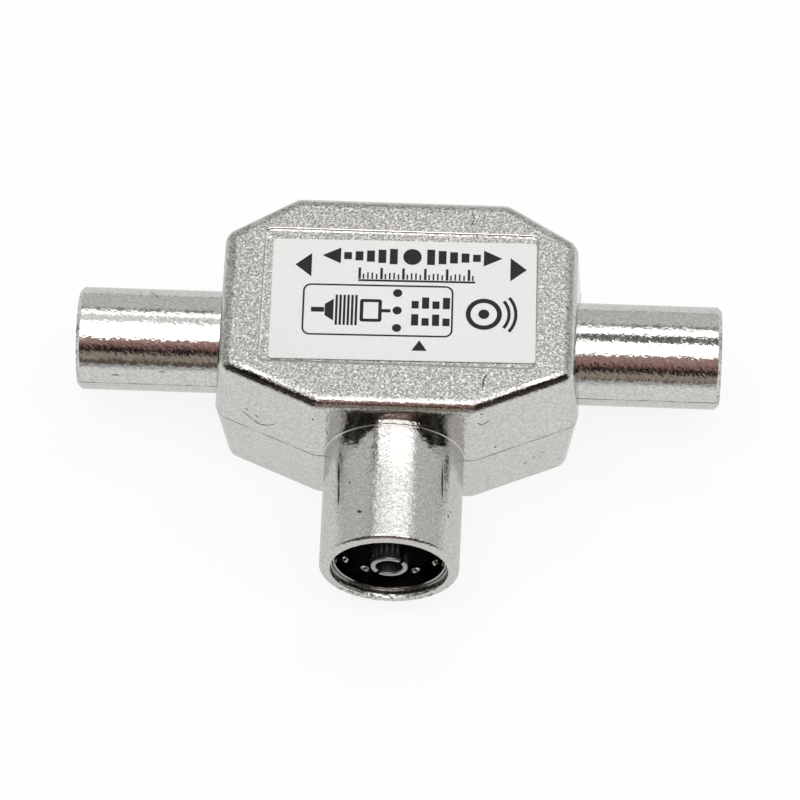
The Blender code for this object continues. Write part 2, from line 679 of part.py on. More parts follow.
def build():
    """Make every piece and put them all under one empty."""
    clear_scene()
    nickel = make_material("nickel_plated_casting", (0.56, 0.55, 0.53), 1.0, 0.32)
    contact_metal = make_material("contact_metal", (0.58, 0.57, 0.54), 1.0, 0.2)
    cover_metal = make_material("pressed_cover", (0.52, 0.52, 0.50), 1.0, 0.38)
    paper = make_material("label_paper", (0.80, 0.80, 0.79), 0.0, 0.45)
    plastic = make_material("insulator_plastic", (0.012, 0.012, 0.013), 0.0, 0.4)
    laminate = make_material("board_laminate", (0.10, 0.22, 0.07), 0.0, 0.5)
    ferrite = make_material("ferrite", (0.03, 0.03, 0.032), 0.0, 0.7)
    copper = make_material("enamelled_copper", (0.45, 0.14, 0.04), 0.6, 0.35)
    ceramic = make_material("chip_ceramic", (0.35, 0.27, 0.18), 0.0, 0.5)
    solder = make_material("solder", (0.6, 0.6, 0.6), 1.0, 0.35)

    parts = [make_housing(nickel), make_cover(cover_metal), make_label(paper)]
    parts.append(make_contact_sleeve(contact_metal))
    parts.append(make_insulator("in_insulator", plastic, SOCKET_BORE, SOCKET_HOLE, FRONT_SHOULDER,
                                FRONT_WALL, CONTACT_SHANK_DIAMETER + 2 * PRESS_FIT, TOWARDS_FRONT))
    parts.append(make_socket_contact(contact_metal))
    for side, rotation in (("left", TOWARDS_LEFT), ("right", TOWARDS_RIGHT)):
        parts.append(make_insulator("out_%s_insulator" % side, plastic, BARREL_BORE, BARREL_HOLE,
                                    SIDE_SHOULDER, SIDE_WALL, PIN_SHANK_DIAMETER + 2 * PRESS_FIT, rotation))
        parts.append(make_side_pin("out_%s_pin" % side, contact_metal, rotation))

    parts.append(make_board(laminate))
    for name, x in (("match", -CORE_X), ("split", CORE_X)):
        parts.append(make_core(name + "_core", ferrite, x))
        parts.append(make_winding(name + "_winding", copper, x))
    chip = (CHIP_LENGTH, CHIP_WIDTH, CHIP_HEIGHT)
    small_chip = (SMALL_CHIP_LENGTH, SMALL_CHIP_WIDTH, SMALL_CHIP_HEIGHT)
    parts.append(make_chip("balance_resistor", ceramic, chip, 0, RESISTOR_Y))
    parts.append(make_chip("input_capacitor", ceramic, small_chip, 0, INPUT_CHIP_Y, math.pi / 2))
    parts.append(make_chip("left_capacitor", ceramic, small_chip, -OUTPUT_CHIP_X, 0))
    parts.append(make_chip("right_capacitor", ceramic, small_chip, OUTPUT_CHIP_X, 0))

    side_end = SIDE_WALL - SPIGOT_STANDOUT - SEAT - TAIL_REACH
    front_end = FRONT_WALL - SPIGOT_STANDOUT - SEAT - TAIL_REACH
    parts.append(make_tail_joint("in_solder_joint", solder, 0, -front_end - JOINT_OVERLAP, TOWARDS_FRONT))
    parts.append(make_tail_joint("left_solder_joint", solder, -side_end - JOINT_OVERLAP, 0, TOWARDS_LEFT))
    parts.append(make_tail_joint("right_solder_joint", solder, side_end + JOINT_OVERLAP, 0, TOWARDS_RIGHT))
    for depth, y in (("front", -POST_Y), ("rear", POST_Y)):
        for side, x in (("left", -POST_X), ("right", POST_X)):
            parts.append(make_ground_joint("ground_joint_%s_%s" % (depth, side), solder, x, y))

    adapter = bpy.data.objects.new("coaxial_t_adapter", None)
    bpy.context.scene.collection.objects.link(adapter)
    for item in parts:
        item.parent = adapter


if __name__ == "__main__":
    build()
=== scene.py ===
"""Looks of a two-way coaxial T adapter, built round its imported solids.

The die-cast housing is remade with its rolled edges, flash line and rough mouth, the label gets its
print, and the contacts, insulators and cover are turned finer. Sizes are in metres, in the solids' frame.
"""
import json
import math

import bmesh
import bpy
from mathutils import Matrix, Vector, noise


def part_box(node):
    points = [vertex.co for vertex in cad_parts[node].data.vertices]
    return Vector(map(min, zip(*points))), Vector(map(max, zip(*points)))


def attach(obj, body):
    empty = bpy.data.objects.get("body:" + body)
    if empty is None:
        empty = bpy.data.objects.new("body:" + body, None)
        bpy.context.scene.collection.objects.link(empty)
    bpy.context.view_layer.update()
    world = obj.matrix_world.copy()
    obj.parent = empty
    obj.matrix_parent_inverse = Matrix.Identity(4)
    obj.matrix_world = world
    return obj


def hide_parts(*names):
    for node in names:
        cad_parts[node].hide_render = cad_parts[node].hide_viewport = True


bl_info = {
    "name": "Coaxial T Adapter",
    "version": (1, 0, 0),
    "blender": (4, 5, 0),
    "location": "3D View > Sidebar > Adapter",
    "description": "Builds the finished looks of a die-cast coaxial T adapter",
    "category": "Object",
}

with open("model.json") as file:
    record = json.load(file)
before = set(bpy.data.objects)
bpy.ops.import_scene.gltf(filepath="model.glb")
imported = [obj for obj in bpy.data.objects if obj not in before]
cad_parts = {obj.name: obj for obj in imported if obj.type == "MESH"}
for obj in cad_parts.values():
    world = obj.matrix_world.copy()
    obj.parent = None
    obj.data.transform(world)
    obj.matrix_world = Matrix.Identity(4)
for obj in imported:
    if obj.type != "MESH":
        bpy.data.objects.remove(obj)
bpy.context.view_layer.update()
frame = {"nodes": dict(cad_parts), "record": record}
HOUSING_LOW, HOUSING_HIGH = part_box("housing")
LABEL_LOW, LABEL_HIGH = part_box("label")

# Places and fits that the pieces share
MILLIMETRE = 0.001
AXIS_HEIGHT = 0.0086
HOLLOW_INSET = 0.00256
COVER_INSET = 0.00196
SHOULDER_DEPTH = 0.0006
INSULATOR_LENGTH = 0.0026
SPIGOT_PAST_WALL = 0.0004
PLAY = 0.00005
PRESS_FIT = 0.00003
BARREL_HOLE, SOCKET_HOLE = 0.0032, 0.0040
TUBE_START = 0.002
BOARD_POSTS = [(x, y) for x in (-0.01034, 0.01034) for y in (-0.0043, 0.0043)]
LABEL_TURN = 0.75
MERGE = 0.000001

# A mark fades out at its rim, so it is drawn wider than its half width
MARK_SPREAD = 1.3

# Dents, scratches and a hair in the plate, and painted reflections of the horizon as dark lines on the front
# tube: both ends, then half the width, in millimetres
DENTS_AND_REFLECTED_LINES = (
    (-14.02, -8.62, 11, -13, -9.11, 10.26, 0.06), (-13, -9.11, 10.26, -12.44, -9.37, 10.01, 0.08),
    (-12.44, -9.37, 10.01, -11.6, -9.7, 10.4, 0.06), (-11.6, -9.7, 10.4, -11, -9.92, 11.08, 0.04),
    (-13.7, -8.72, 11.7, -13.5, -8.8, 11.55, 0.07), (-12.8, -9.15, 11.25, -12.58, -9.22, 11.08, 0.07),
    (-7.4, -11.24, 14.65, -7.3, -11.24, 14.45, 0.08), (7.54, -11.17, 14.73, 8, -11.01, 14.12, 0.06),
    (8, -11.01, 14.12, 8.62, -10.71, 14.55, 0.06), (7.8, -10.97, 16.05, 7.96, -10.9, 15.9, 0.06),
    (9.2, -10.79, 9.8, 9.26, -10.76, 9.5, 0.06), (13.75, -8.49, 5.15, 13.45, -8.63, 4.95, 0.08),
    (12.9, -8.81, 4.7, 12.66, -8.91, 4.45, 0.07), (12.18, -9.05, 4.15, 11.9, -9.17, 3.9, 0.07),
    (-6.03, -11.44, 12.9, -6.04, -11.76, 11.1, 0.07), (-6.16, -12.5, 10.36, -6.21, -13, 10.1, 0.06),
    # Painted reflections of the horizon on the front tube's flanks: both marks on the line below and the
    # first mark on the line after it
    (-4.88, -14.4, 12.72, -4.76, -17.2, 12.84, 0.16), (-4.8, -16.6, 12.8, -4.68, -19.1, 12.92, 0.13),
    (4.5, -14.6, 13.12, 4.62, -18.4, 13, 0.11), (-3.8, -17.1, 13.7, -3.74, -17.22, 13.73, 0.08),
    (5.16, -19.4, 12.3, 5.22, -19.56, 12.25, 0.08), (5.3, -18.9, 12.1, 5.36, -19, 12.04, 0.06),
    (-2.86, -20.38, 14.29, -2.6, -20.48, 14.41, 0.11), (-23.32, 3.07, 12.22, -22.68, 2.36, 12.72, 0.04),
    (-22.9, 2.8, 12.44, -22.26, 1.77, 13.01, 0.04), (-26.35, -4.59, 9.83, -25.7, -4.58, 9.86, 0.06),
    (-21.97, -4.41, 10.37, -21.51, -4.4, 10.38, 0.06), (7.89, -8.91, 17.2, 7.96, -8.07, 17.2, 0.06),
    (7.96, -8.07, 17.2, 8.21, -7.43, 17.16, 0.06), (8.21, -7.43, 17.16, 8.47, -7, 17.05, 0.05),
    (6.38, 9.64, 17.2, 6.59, 8.99, 17.2, 0.04), (6.59, 8.99, 17.2, 6.24, 8.1, 17.2, 0.04),
)


def length(name, default, note):
    """A size in metres that a user may change."""
    return bpy.props.FloatProperty(name=name, description=note, default=default, unit="LENGTH",
                                   precision=5, min=0.0)


def colour(name, default, note):
    """A colour that a user may change."""
    return bpy.props.FloatVectorProperty(name=name, description=note, default=default, subtype="COLOR",
                                         size=3, min=0.0, max=1.0)


class HousingSizes(bpy.types.PropertyGroup):
    """Sizes of the casting."""

    width: length("Width", 0.0334, "Width of the body at the parting line, without the barrels")
    front: length("Front", 0.0117, "From the port axes to the front wall")
    rear: length("Rear", 0.01155, "From the port axes to the rear wall")
    front_along: length("Front corner along", 0.0094, "How far a front corner cut runs along the front")
    front_deep: length("Front corner deep", 0.0041, "How far a front corner cut runs back")
    rear_along: length("Rear corner along", 0.00685, "How far a rear corner cut runs along the rear")
    rear_deep: length("Rear corner deep", 0.00425, "How far a rear corner cut runs forward")
    upright_radius: length("Upright edges", 0.0014, "Radius of the eight upright edges")
    height: length("Height", HOUSING_HIGH.z, "Height of the body")
    upper_draft: length("Upper draft", 0.00052, "How far the walls lean in above the parting line")
    lower_draft: length("Lower draft", 0.00086, "How far the walls lean in below the parting line")
    top_radius: length("Top edge", 0.0013, "Radius of the rolled top edge")
    bottom_radius: length("Bottom edge", 0.0004, "Radius of the bottom edge")
    flash: length("Flash", 0.000012, "How far the flash stands out at the parting line")
    panel_recess: length("Panel recess", 0.00016, "Depth of the panel that the label lies in")


class PortSizes(bpy.types.PropertyGroup):
    """Sizes of the three ports."""

    barrel: length("Barrel", 0.0095, "Outside diameter of a side barrel")
    barrel_bore: length("Barrel bore", 0.0083, "Inside diameter of a side barrel")
    barrel_reach: length("Barrel reach", HOUSING_HIGH.x, "From the middle to the end of a side barrel")
    socket_root: length("Socket root", 0.0128, "Diameter of the front tube at the body")
    socket_mouth: length("Socket mouth", 0.0127, "Diameter of the front tube at its mouth")
    socket_bore: length("Socket bore", 0.0104, "Inside diameter of the front tube")
    socket_reach: length("Socket reach", -HOUSING_LOW.y, "From the port axes to the mouth of the front tube")
    pin: length("Pin", 0.0024, "Diameter of a side port's centre pin")
    contact: length("Contact", 0.0034, "Outside diameter of the split centre contact")
    contact_bore: length("Contact bore", 0.00245, "Inside diameter of the split centre contact")


class AdapterColours(bpy.types.PropertyGroup):
    """Colours of the finishes."""

    nickel: colour("Nickel plate", (0.56, 0.55, 0.53), "Satin nickel on the casting and the cover")
    contact: colour("Contacts", (0.46, 0.455, 0.44), "Plate of the contacts")
    paper: colour("Label", (0.815, 0.82, 0.825), "Coated label stock")
    ink: colour("Ink", (0.01, 0.01, 0.011), "Print on the label")
    plastic: colour("Insulators", (0.016, 0.016, 0.019), "Black moulded plastic")


# Finishes
class Wiring:
    """The nodes of one tree."""

    def __init__(self, tree):
        self.tree = tree

    def node(self, kind, settings=None, **inputs):
        """Add one shader node, set its own properties and feed its inputs."""
        made = self.tree.nodes.new("ShaderNode" + kind)
        for key, value in (settings or {}).items():
            setattr(made, key, value)
        for key, value in inputs.items():
            self.feed(made.inputs[key], value)
        return made

    def link(self, source, target):
        """Join an output to an input."""
        self.tree.links.new(source, target)

    def feed(self, target, value):
        """Give an input a number or another node's output."""
        if isinstance(value, bpy.types.NodeSocket):
            self.link(value, target)
        else:
            target.default_value = value

    def maths(self, operation, first, second=0.0, third=0.0, clamp=False):
        """One Math node."""
        made = self.node("Math", {"operation": operation, "use_clamp": clamp})
        for target, value in zip(made.inputs, (first, second, third)):
            self.feed(target, value)
        return made.outputs[0]

    def times(self, first, second):
        """The product of two values."""
        return self.maths("MULTIPLY", first, second)

    def axes(self, source):
        """The three parts of a place or a direction."""
        return self.node("SeparateXYZ", Vector=source).outputs

    def band(self, value, low, high, start=0.0, end=1.0, smooth=True):
        """Turn the range low to high of a value into start to end."""
        ends = {"From Min": low, "From Max": high, "To Min": start, "To Max": end}
        settings = {"interpolation_type": "SMOOTHSTEP" if smooth else "LINEAR"}
        return self.node("MapRange", settings, Value=value, **ends).outputs["Result"]

    def blend(self, share, first, second):
        """A colour between two."""
        made = self.node("Mix", {"data_type": "RGBA"}, Factor=share)
        for target, value in ((made.inputs[6], first), (made.inputs[7], second)):
            self.feed(target, value if isinstance(value, bpy.types.NodeSocket) else (*value, 1.0))
        return made.outputs[2]

    def ramp(self, value, stops):
        """Colours along a value from 0 to 1."""
        made = self.node("ValToRGB", Fac=value)
        points = made.color_ramp.elements
        while len(points) < len(stops):
            points.new(0.5)
        for point, (place, tint) in zip(points, stops):
            point.position = place
            point.color = (*tint, 1.0)
        return made.outputs["Color"]


class Finish(Wiring):
    """The nodes of one finish, whose patterns follow the solids' own frame."""

    def __init__(self, name):
        self.material = bpy.data.materials.new(name)
        self.material.use_nodes = True
        super().__init__(self.material.node_tree)
        self.shader = self.tree.nodes["Principled BSDF"]
        self.place = self.node("TexCoord").outputs["Object"]

    def grain(self, size, detail=2.0, roughness=0.5, distortion=0.0, stretch=(1, 1, 1)):
        """Noise whose blotches are about size across, in metres."""
        place = self.node("Mapping", Vector=self.place, Scale=stretch).outputs["Vector"]
        return self.node("TexNoise", Vector=place, Scale=0.5 / size, Detail=detail, Roughness=roughness,
                         Distortion=distortion).outputs["Fac"]

    def cells(self, size):
        """Distance to the nearest of many scattered points about size apart."""
        return self.node("TexVoronoi", Vector=self.place, Scale=1.0 / size).outputs["Distance"]

    def stroke(self, place, mark):
        """One thin long mark between two places: 1 in its middle, 0 outside."""
        start, end = Vector(mark[:3]) * MILLIMETRE, Vector(mark[3:6]) * MILLIMETRE
        width = mark[6] * MILLIMETRE * MARK_SPREAD
        mapping = self.node("Mapping", {"vector_type": "TEXTURE"}, Vector=place, Location=(start + end) / 2,
                            Rotation=(end - start).to_track_quat("X", "Z").to_euler(),
                            Scale=((end - start).length / 2 + width, width, width))
        away = self.node("VectorMath", {"operation": "LENGTH"})
        self.link(mapping.outputs["Vector"], away.inputs[0])
        return self.band(away.outputs["Value"], 1.1, 0.6)

    def strokes(self, marks, wander):
        """Many such marks, their sides made uneven by wander in metres."""
        shift = self.node("TexNoise", Vector=self.place, Scale=4000.0)
        middle = self.node("VectorMath", {"operation": "SUBTRACT"})
        self.link(shift.outputs["Color"], middle.inputs[0])
        middle.inputs[1].default_value = (0.5, 0.5, 0.5)
        moved = self.node("VectorMath", {"operation": "MULTIPLY_ADD"})
        self.link(middle.outputs["Vector"], moved.inputs[0])
        moved.inputs[1].default_value = (wander, wander, wander)
        self.link(self.place, moved.inputs[2])
        place = moved.outputs["Vector"]
        together = self.stroke(place, marks[0])
        for mark in marks[1:]:
            together = self.maths("MAXIMUM", together, self.stroke(place, mark))
        return together

    def relief(self, height, depth, under=None):
        """Bumps whose height from 0 to 1 stands for depth in metres, over other bumps."""
        below = {} if under is None else {"Normal": under}
        return self.node("Bump", Distance=depth, Height=height, **below).outputs["Normal"]

    def finish(self, base, rough, normal=None, metallic=0.0):
        """Connect the shader and hand back the material."""
        value = base if isinstance(base, bpy.types.NodeSocket) else (*base, 1.0)
        self.feed(self.shader.inputs["Base Color"], value)
        self.feed(self.shader.inputs["Roughness"], rough)
        self.shader.inputs["Metallic"].default_value = metallic
        if normal is not None:
            self.link(normal, self.shader.inputs["Normal"])
        return self.material


def shade(tint, amount):
    """A darker or lighter form of a colour."""
    return tuple(min(1.0, part * amount) for part in tint)


def casting_finish(tint):
    """Nickel plate over a die-cast skin: fine worms on top, pitted orange peel elsewhere, dents; painted seam
    shade and reflections.
    """
    net = Finish("plated_casting")
    x, y, z = net.axes(net.place)
    normal_x, normal_y, normal_z = net.axes(net.node("NewGeometry").outputs["Normal"])
    panel = net.times(net.band(net.maths("ABSOLUTE", x), 0.0140, 0.0136),
                      net.band(net.maths("ABSOLUTE", y), 0.0086, 0.0082))
    upper = net.band(z, 0.0150, 0.0160)
    sideways = net.maths("MAXIMUM", net.times(normal_x, -1.0), net.times(normal_x, 0.5))
    sideways = net.times(sideways, net.maths("SUBTRACT", 1.0, panel))
    steep = net.maths("ADD", net.times(panel, 0.12), net.maths("MULTIPLY_ADD", sideways, -0.6, 0.82))
    level = net.maths("MULTIPLY_ADD", sideways, -0.3, 0.99)
    flat = net.times(upper, net.band(normal_z, steep, level))
    grained = net.maths("MAXIMUM", flat, net.times(net.maths("SUBTRACT", upper, panel), 0.4))
    front_tube = net.band(y, -0.0117, -0.0122)
    outer_tube = net.band(y, -0.0145, -0.0170)

    # Relief
    peel = net.grain(0.0007, 1.5, 0.5)
    skin = net.grain(0.00019, 1.0, 0.5, 0.4)
    worms = net.band(net.grain(0.000105, 1.5, 0.55, 0.7), 0.34, 0.66)
    waves = net.band(net.grain(0.00019, 1.5, 0.5, 0.8, (0.55, 1, 1)), 0.3, 0.7)
    dents_and_reflections = net.strokes(DENTS_AND_REFLECTED_LINES, 0.0001)
    normal = net.relief(peel, 0.000014)
    normal = net.relief(skin, 0.000021, normal)
    normal = net.relief(net.times(waves, outer_tube), 0.000012, normal)
    normal = net.relief(net.times(worms, grained), 0.000013, normal)
    normal = net.relief(net.maths("SUBTRACT", 1.0, dents_and_reflections), 0.00003, normal)

    # Tone
    cloud = net.grain(0.004, 3.0, 0.6)
    base = net.blend(net.band(cloud, 0.3, 0.7), shade(tint, 1.13), shade(tint, 1.18))
    specks = net.band(net.grain(0.00014, 2.0, 0.6), 0.36, 0.64)
    speckled = net.blend(specks, shade(tint, 0.92), base)
    grainy = net.blend(worms, shade(tint, 0.40), shade(tint, 1.05))
    fine = net.band(net.grain(0.00011, 1.5, 0.5, 0.5), 0.34, 0.66)
    wavy = net.blend(fine, shade(tint, 0.87), shade(tint, 1.12))
    base = net.blend(flat, net.blend(front_tube, speckled, wavy), grainy)

    # Pits, more of them on the worn mouth and at the ends of the barrels
    lip = net.times(net.band(y, -0.0226, -0.0231), net.band(z, 0.0080, 0.0035))
    ends = net.band(net.maths("ABSOLUTE", x), 0.0291, 0.0296)
    worn = net.times(net.maths("MAXIMUM", lip, ends), 0.13)
    pits = net.band(net.maths("ADD", net.grain(0.00022, 3.0, 0.65, 0.6), worn), 0.655, 0.73)
    base = net.blend(net.times(pits, 0.75), base, shade(tint, 0.22))

    # Painted shade along the mould seam: a dark line standing in for the shading of the flash ridge, on the
    # front half only and broken up along its length
    drift = net.times(net.grain(0.0006, 2.0), 0.00010)
    height = net.maths("SUBTRACT", net.maths("ADD", z, drift), AXIS_HEIGHT + 0.00005)
    line = net.band(net.maths("ABSOLUTE", height), 0.00011, 0.00006)
    broken = net.band(net.grain(0.0009, 2.0), 0.4, 0.6, 0.35, 0.9)
    ahead = net.times(net.band(y, 0.0010, -0.0005), net.band(y, -0.0232, -0.0226))
    seam_shade_line = net.times(net.times(line, broken), ahead)
    base = net.blend(seam_shade_line, base, shade(tint, 0.28))
    # Dents, scratches and hair darkened, and the painted reflections of the horizon as dark lines on the
    # front tube
    base = net.blend(net.times(dents_and_reflections, 0.95), base, shade(tint, 0.10))
    rough = net.maths("ADD", net.band(skin, 0.3, 0.7, 0.08, 0.15), net.times(flat, 0.16))
    rough = net.maths("MULTIPLY_ADD", outer_tube, 0.12, rough)
    net.shader.inputs["Specular Tint"].default_value = (0.85, 0.85, 0.85, 1)
    return net.finish(base, rough, normal, 1.0)


def plain_finish(name, tints, skin, rough, depth, metallic=0.0, cloud=None, clouded=False):
    """Relief and gloss from a skin, tone from a wider cloud or the skin; gloss from the cloud if clouded."""
    net = Finish(name)
    fine = net.grain(*skin)
    wide = net.grain(*cloud) if cloud else fine
    gloss = net.band(wide if clouded else fine, 0.3, 0.7, *rough)
    return net.finish(net.blend(wide, *tints), gloss, net.relief(fine, depth), metallic)


def pressed_finish(tint):
    """Satin nickel on pressed sheet, with faint drawing lines."""
    return plain_finish("plated_cover", (shade(tint, 0.9), shade(tint, 1.0)),
                        (0.00012, 2.0, 0.6, 0.0, (0.03, 1, 1)), (0.22, 0.34), 0.000004, 1.0, (0.003, 3.0))


def turned_finish(name, tint, smooth):
    """Bright plate on a turned or drawn contact, with fine tool marks."""
    return plain_finish(name, (shade(tint, 0.92), shade(tint, 1.03)), (0.00008, 2.0, 0.6),
                        (smooth, smooth + 0.08), 0.000002, 1.0, (0.0012, 2.0), True)


def moulded_finish(tint):
    """Moulded plastic with a fine eroded skin."""
    return plain_finish("insulator_plastic", (shade(tint, 0.85), shade(tint, 1.15)), (0.0002, 2.0),
                        (0.3, 0.4), 0.000004, 0.0, (0.002, 2.0))


def paper_finish(tint):
    """Coated white label stock, slightly uneven."""
    net = Finish("label_paper")
    fibres = net.grain(0.00015, 3.0, 0.6)
    cloud = net.grain(0.003, 2.0)
    specks = net.band(net.cells(0.0022), 0.03, 0.05)
    normal = net.relief(fibres, 0.0000015)
    base = net.blend(cloud, shade(tint, 0.985), shade(tint, 1.01))
    base = net.blend(net.band(fibres, 0.35, 0.65), shade(tint, 0.965), base)
    base = net.blend(specks, shade(tint, 0.84), base)
    return net.finish(base, net.band(fibres, 0.3, 0.7, 0.38, 0.48), normal)


def ink_finish(tint):
    """Black print with a slightly mottled film."""
    net = Finish("label_ink")
    film = net.grain(0.0001, 3.0, 0.7)
    base = net.blend(net.band(film, 0.45, 0.75), tint, shade(tint, 2.2))
    net.shader.inputs["Specular IOR Level"].default_value = 0.3
    return net.finish(base, net.band(film, 0.3, 0.7, 0.55, 0.65), net.relief(film, 0.000001))


def laminate_finish():
    """Solder resist over glass weave."""
    net = Finish("board_laminate")
    weave = net.node("TexBrick", Vector=net.place, Scale=900.0, Color1=(0.09, 0.22, 0.06, 1),
                     Color2=(0.10, 0.24, 0.07, 1), Mortar=(0.07, 0.17, 0.05, 1), **{"Mortar Size": 0.05})
    return net.finish(weave.outputs["Color"], 0.35, net.relief(net.grain(0.0004), 0.000004))


# Ferrite, enamelled wire, fired chip bodies and solder: tints, grain, gloss, relief and metal
BOARD_FINISHES = {
    "ferrite": (((0.02, 0.02, 0.022), (0.05, 0.048, 0.047)), (0.00012, 4.0, 0.7), (0.62, 0.62), 0.00001),
    "winding_wire": (((0.42, 0.12, 0.035), (0.52, 0.18, 0.06)), (0.0008, 3.0), (0.28, 0.28), 0.000003, 0.75),
    "chip_ceramic": (((0.32, 0.24, 0.15), (0.40, 0.31, 0.21)), (0.0004, 3.0), (0.45, 0.45), 0.000002),
    "solder": (((0.55, 0.55, 0.56), (0.66, 0.66, 0.66)), (0.0003, 3.0), (0.2, 0.4), 0.00001, 1.0),
}


# Shaping
def shade_round(mesh, sharp=32):
    """Smooth a mesh's faces up to an angle in degrees."""
    mesh.shade_smooth()
    mesh.set_sharp_from_angle(angle=math.radians(sharp))


def new_piece(name, bm, material):
    """Turn a bmesh into an object with smooth round faces and sharp edges."""
    bmesh.ops.recalc_face_normals(bm, faces=bm.faces)
    mesh = bpy.data.meshes.new(name)
    bm.to_mesh(mesh)
    bm.free()
    shade_round(mesh)
    item = bpy.data.objects.new(name, mesh)
    bpy.context.scene.collection.objects.link(item)
    if material is not None:
        mesh.materials.append(material)
    return item


def settle(item, slot, *nodes):
    """Let a finished piece ride on the body and stand for the solids it replaces."""
    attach(item, "root")
    if nodes:
        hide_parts(*nodes)
    return item


def combine(target, bm, operation):
    """Join a bmesh to an object, or cut it out."""
    tool = new_piece("tool", bm, None)
    modifier = target.modifiers.new(operation.lower(), "BOOLEAN")
    modifier.object = tool
    modifier.operation = operation
    modifier.solver = "EXACT"
    graph = bpy.context.evaluated_depsgraph_get()
    graph.update()
    result = bpy.data.meshes.new_from_object(target.evaluated_get(graph))
    target.modifiers.clear()
    worked = bmesh.new()
    worked.from_mesh(result)
    bmesh.ops.remove_doubles(worked, verts=worked.verts, dist=MERGE)
    worked.to_mesh(result)
    worked.free()
    old = target.data
    target.data = result
    bpy.data.meshes.remove(old)
    bpy.data.objects.remove(tool, do_unlink=True)


def upright_edges(bm):
    """The edges that run up and down."""
    return [edge for edge in bm.edges if abs((edge.verts[0].co - edge.verts[1].co).z) > MERGE]


def round_edges(bm, edges, offset, steps):
    """Round some edges."""
    bmesh.ops.bevel(bm, geom=edges, offset=offset, offset_type="OFFSET", segments=steps, profile=0.5,
                    affect="EDGES", material=-1, clamp_overlap=False)


def block(size, centre):
    """A box of a size round a centre."""
    bm = bmesh.new()
    bmesh.ops.create_cube(bm, size=1.0)
    bmesh.ops.scale(bm, vec=size, verts=bm.verts)
    bmesh.ops.translate(bm, vec=centre, verts=bm.verts)
    return bm


def spun(profile, segments, closed=False):
    """A turned solid about Z from (radius, height) pairs, closed where the profile is a loop."""
    bm = bmesh.new()
    points = [bm.verts.new((radius, 0, height)) for radius, height in profile]
    edges = [bm.edges.new(pair) for pair in zip(points, points[1:])]
    if closed:
        edges.append(bm.edges.new((points[-1], points[0])))
    bmesh.ops.spin(bm, geom=points + edges, cent=(0, 0, 0), axis=(0, 0, 1), angle=math.tau,
                   steps=segments, use_merge=True, use_duplicate=False)
    bmesh.ops.remove_doubles(bm, verts=bm.verts, dist=MERGE)
    return bm


def along_port(turned, port):
    """Lay a turned solid along one port axis: left, right or front."""
    quarters, axis = {"left": (-1, "Y"), "right": (1, "Y"), "front": (1, "X")}[port]
    turn = Matrix.Rotation(quarters * math.pi / 2, 4, axis)
    turned.transform(Matrix.Translation((0, 0, AXIS_HEIGHT)) @ turn)
    return turned


def rolled(centre_radius, centre_height, radius, start, end, steps):
    """Profile points on an arc, angles in degrees from the outward radius."""
    return [(centre_radius + radius * math.cos(math.radians(start + (end - start) * step / steps)),
             centre_height + radius * math.sin(math.radians(start + (end - start) * step / steps)))
            for step in range(steps + 1)]


# Housing
def body_corners(sizes, inset):
    """The eight corners of the body's outline, moved inwards by inset."""
    half, front, rear = sizes.width / 2, -sizes.front, sizes.rear
    corners = [Vector((-half, front + sizes.front_deep)), Vector((-half + sizes.front_along, front)),
               Vector((half - sizes.front_along, front)), Vector((half, front + sizes.front_deep)),
               Vector((half, rear - sizes.rear_deep)), Vector((half - sizes.rear_along, rear)),
               Vector((-half + sizes.rear_along, rear)), Vector((-half, rear - sizes.rear_deep))]
    moved = []
    for index, here in enumerate(corners):
        before = (here - corners[index - 1]).normalized()
        after = (corners[(index + 1) % 8] - here).normalized()
        inward = Vector((-before.y, before.x))
        middle = (inward + Vector((-after.y, after.x))).normalized()
        moved.append((here + middle * (inset / middle.dot(inward)), before.angle(after)))
    return moved


def outline_solid(sizes, levels, radius, steps, cap_radii=(0.0, 0.0)):
    """A solid through (inset, height) levels with rolled upright edges, and rolled rims by cap_radii."""
    bm = bmesh.new()
    rings = []
    for inset, height in levels:
        points = [bm.verts.new((corner.x, corner.y, height)) for corner, turn in body_corners(sizes, inset)]
        rings.append([bm.edges.new((points[index - 1], points[index])) for index in range(8)])
    for lower, upper in zip(rings, rings[1:]):
        bmesh.ops.bridge_loops(bm, edges=lower + upper)
    bmesh.ops.edgeloop_fill(bm, edges=rings[0])
    bmesh.ops.edgeloop_fill(bm, edges=rings[-1])
    bmesh.ops.recalc_face_normals(bm, faces=bm.faces)
    for corner, turn in body_corners(sizes, 0):
        direction = corner.normalized()
        uprights = [edge for edge in upright_edges(bm)
                    if ((edge.verts[0].co + edge.verts[1].co).xy / 2).normalized().dot(direction) > 0.9998
                    and abs((edge.verts[0].co + edge.verts[1].co).xy.length / 2 - corner.length) < 0.003]
        round_edges(bm, uprights, radius * math.tan(turn / 2), steps)
    for roll, height in zip(cap_radii, (levels[0][1], levels[-1][1])):
        if roll:
            rim = [edge for edge in bm.edges
                   if all(abs(vert.co.z - height) < MERGE for vert in edge.verts)
                   and len(edge.link_faces) == 2
                   and abs(edge.link_faces[0].normal.z - edge.link_faces[1].normal.z) > 0.3]
            round_edges(bm, rim, roll * 0.945, 8)
    return bm


def panel_tool(sizes):
    """The shallow panel for the label: a rolled rim, then a gentle slope down to its floor."""
    size, clear, corner, roll, slope = (0.0254, 0.0144, 0.0005), 0.000003, 0.0008, 0.0002, 0.00035
    bm = block(size, (0, 0.0003, sizes.height + clear + size[2] / 2))
    round_edges(bm, upright_edges(bm), corner, 8)
    bm.faces.ensure_lookup_table()
    floor = min(bm.faces, key=lambda face: face.calc_center_median().z)
    path = [(roll * math.sin(math.radians(angle)), roll * (1 - math.cos(math.radians(angle))))
            for angle in range(0, 66, 13)] + [(slope, sizes.panel_recess + clear)]
    for (near, high), (far, low) in zip(path, path[1:]):
        bmesh.ops.inset_region(bm, faces=[floor], thickness=far - near, depth=low - high,
                               use_even_offset=True)
    return bm


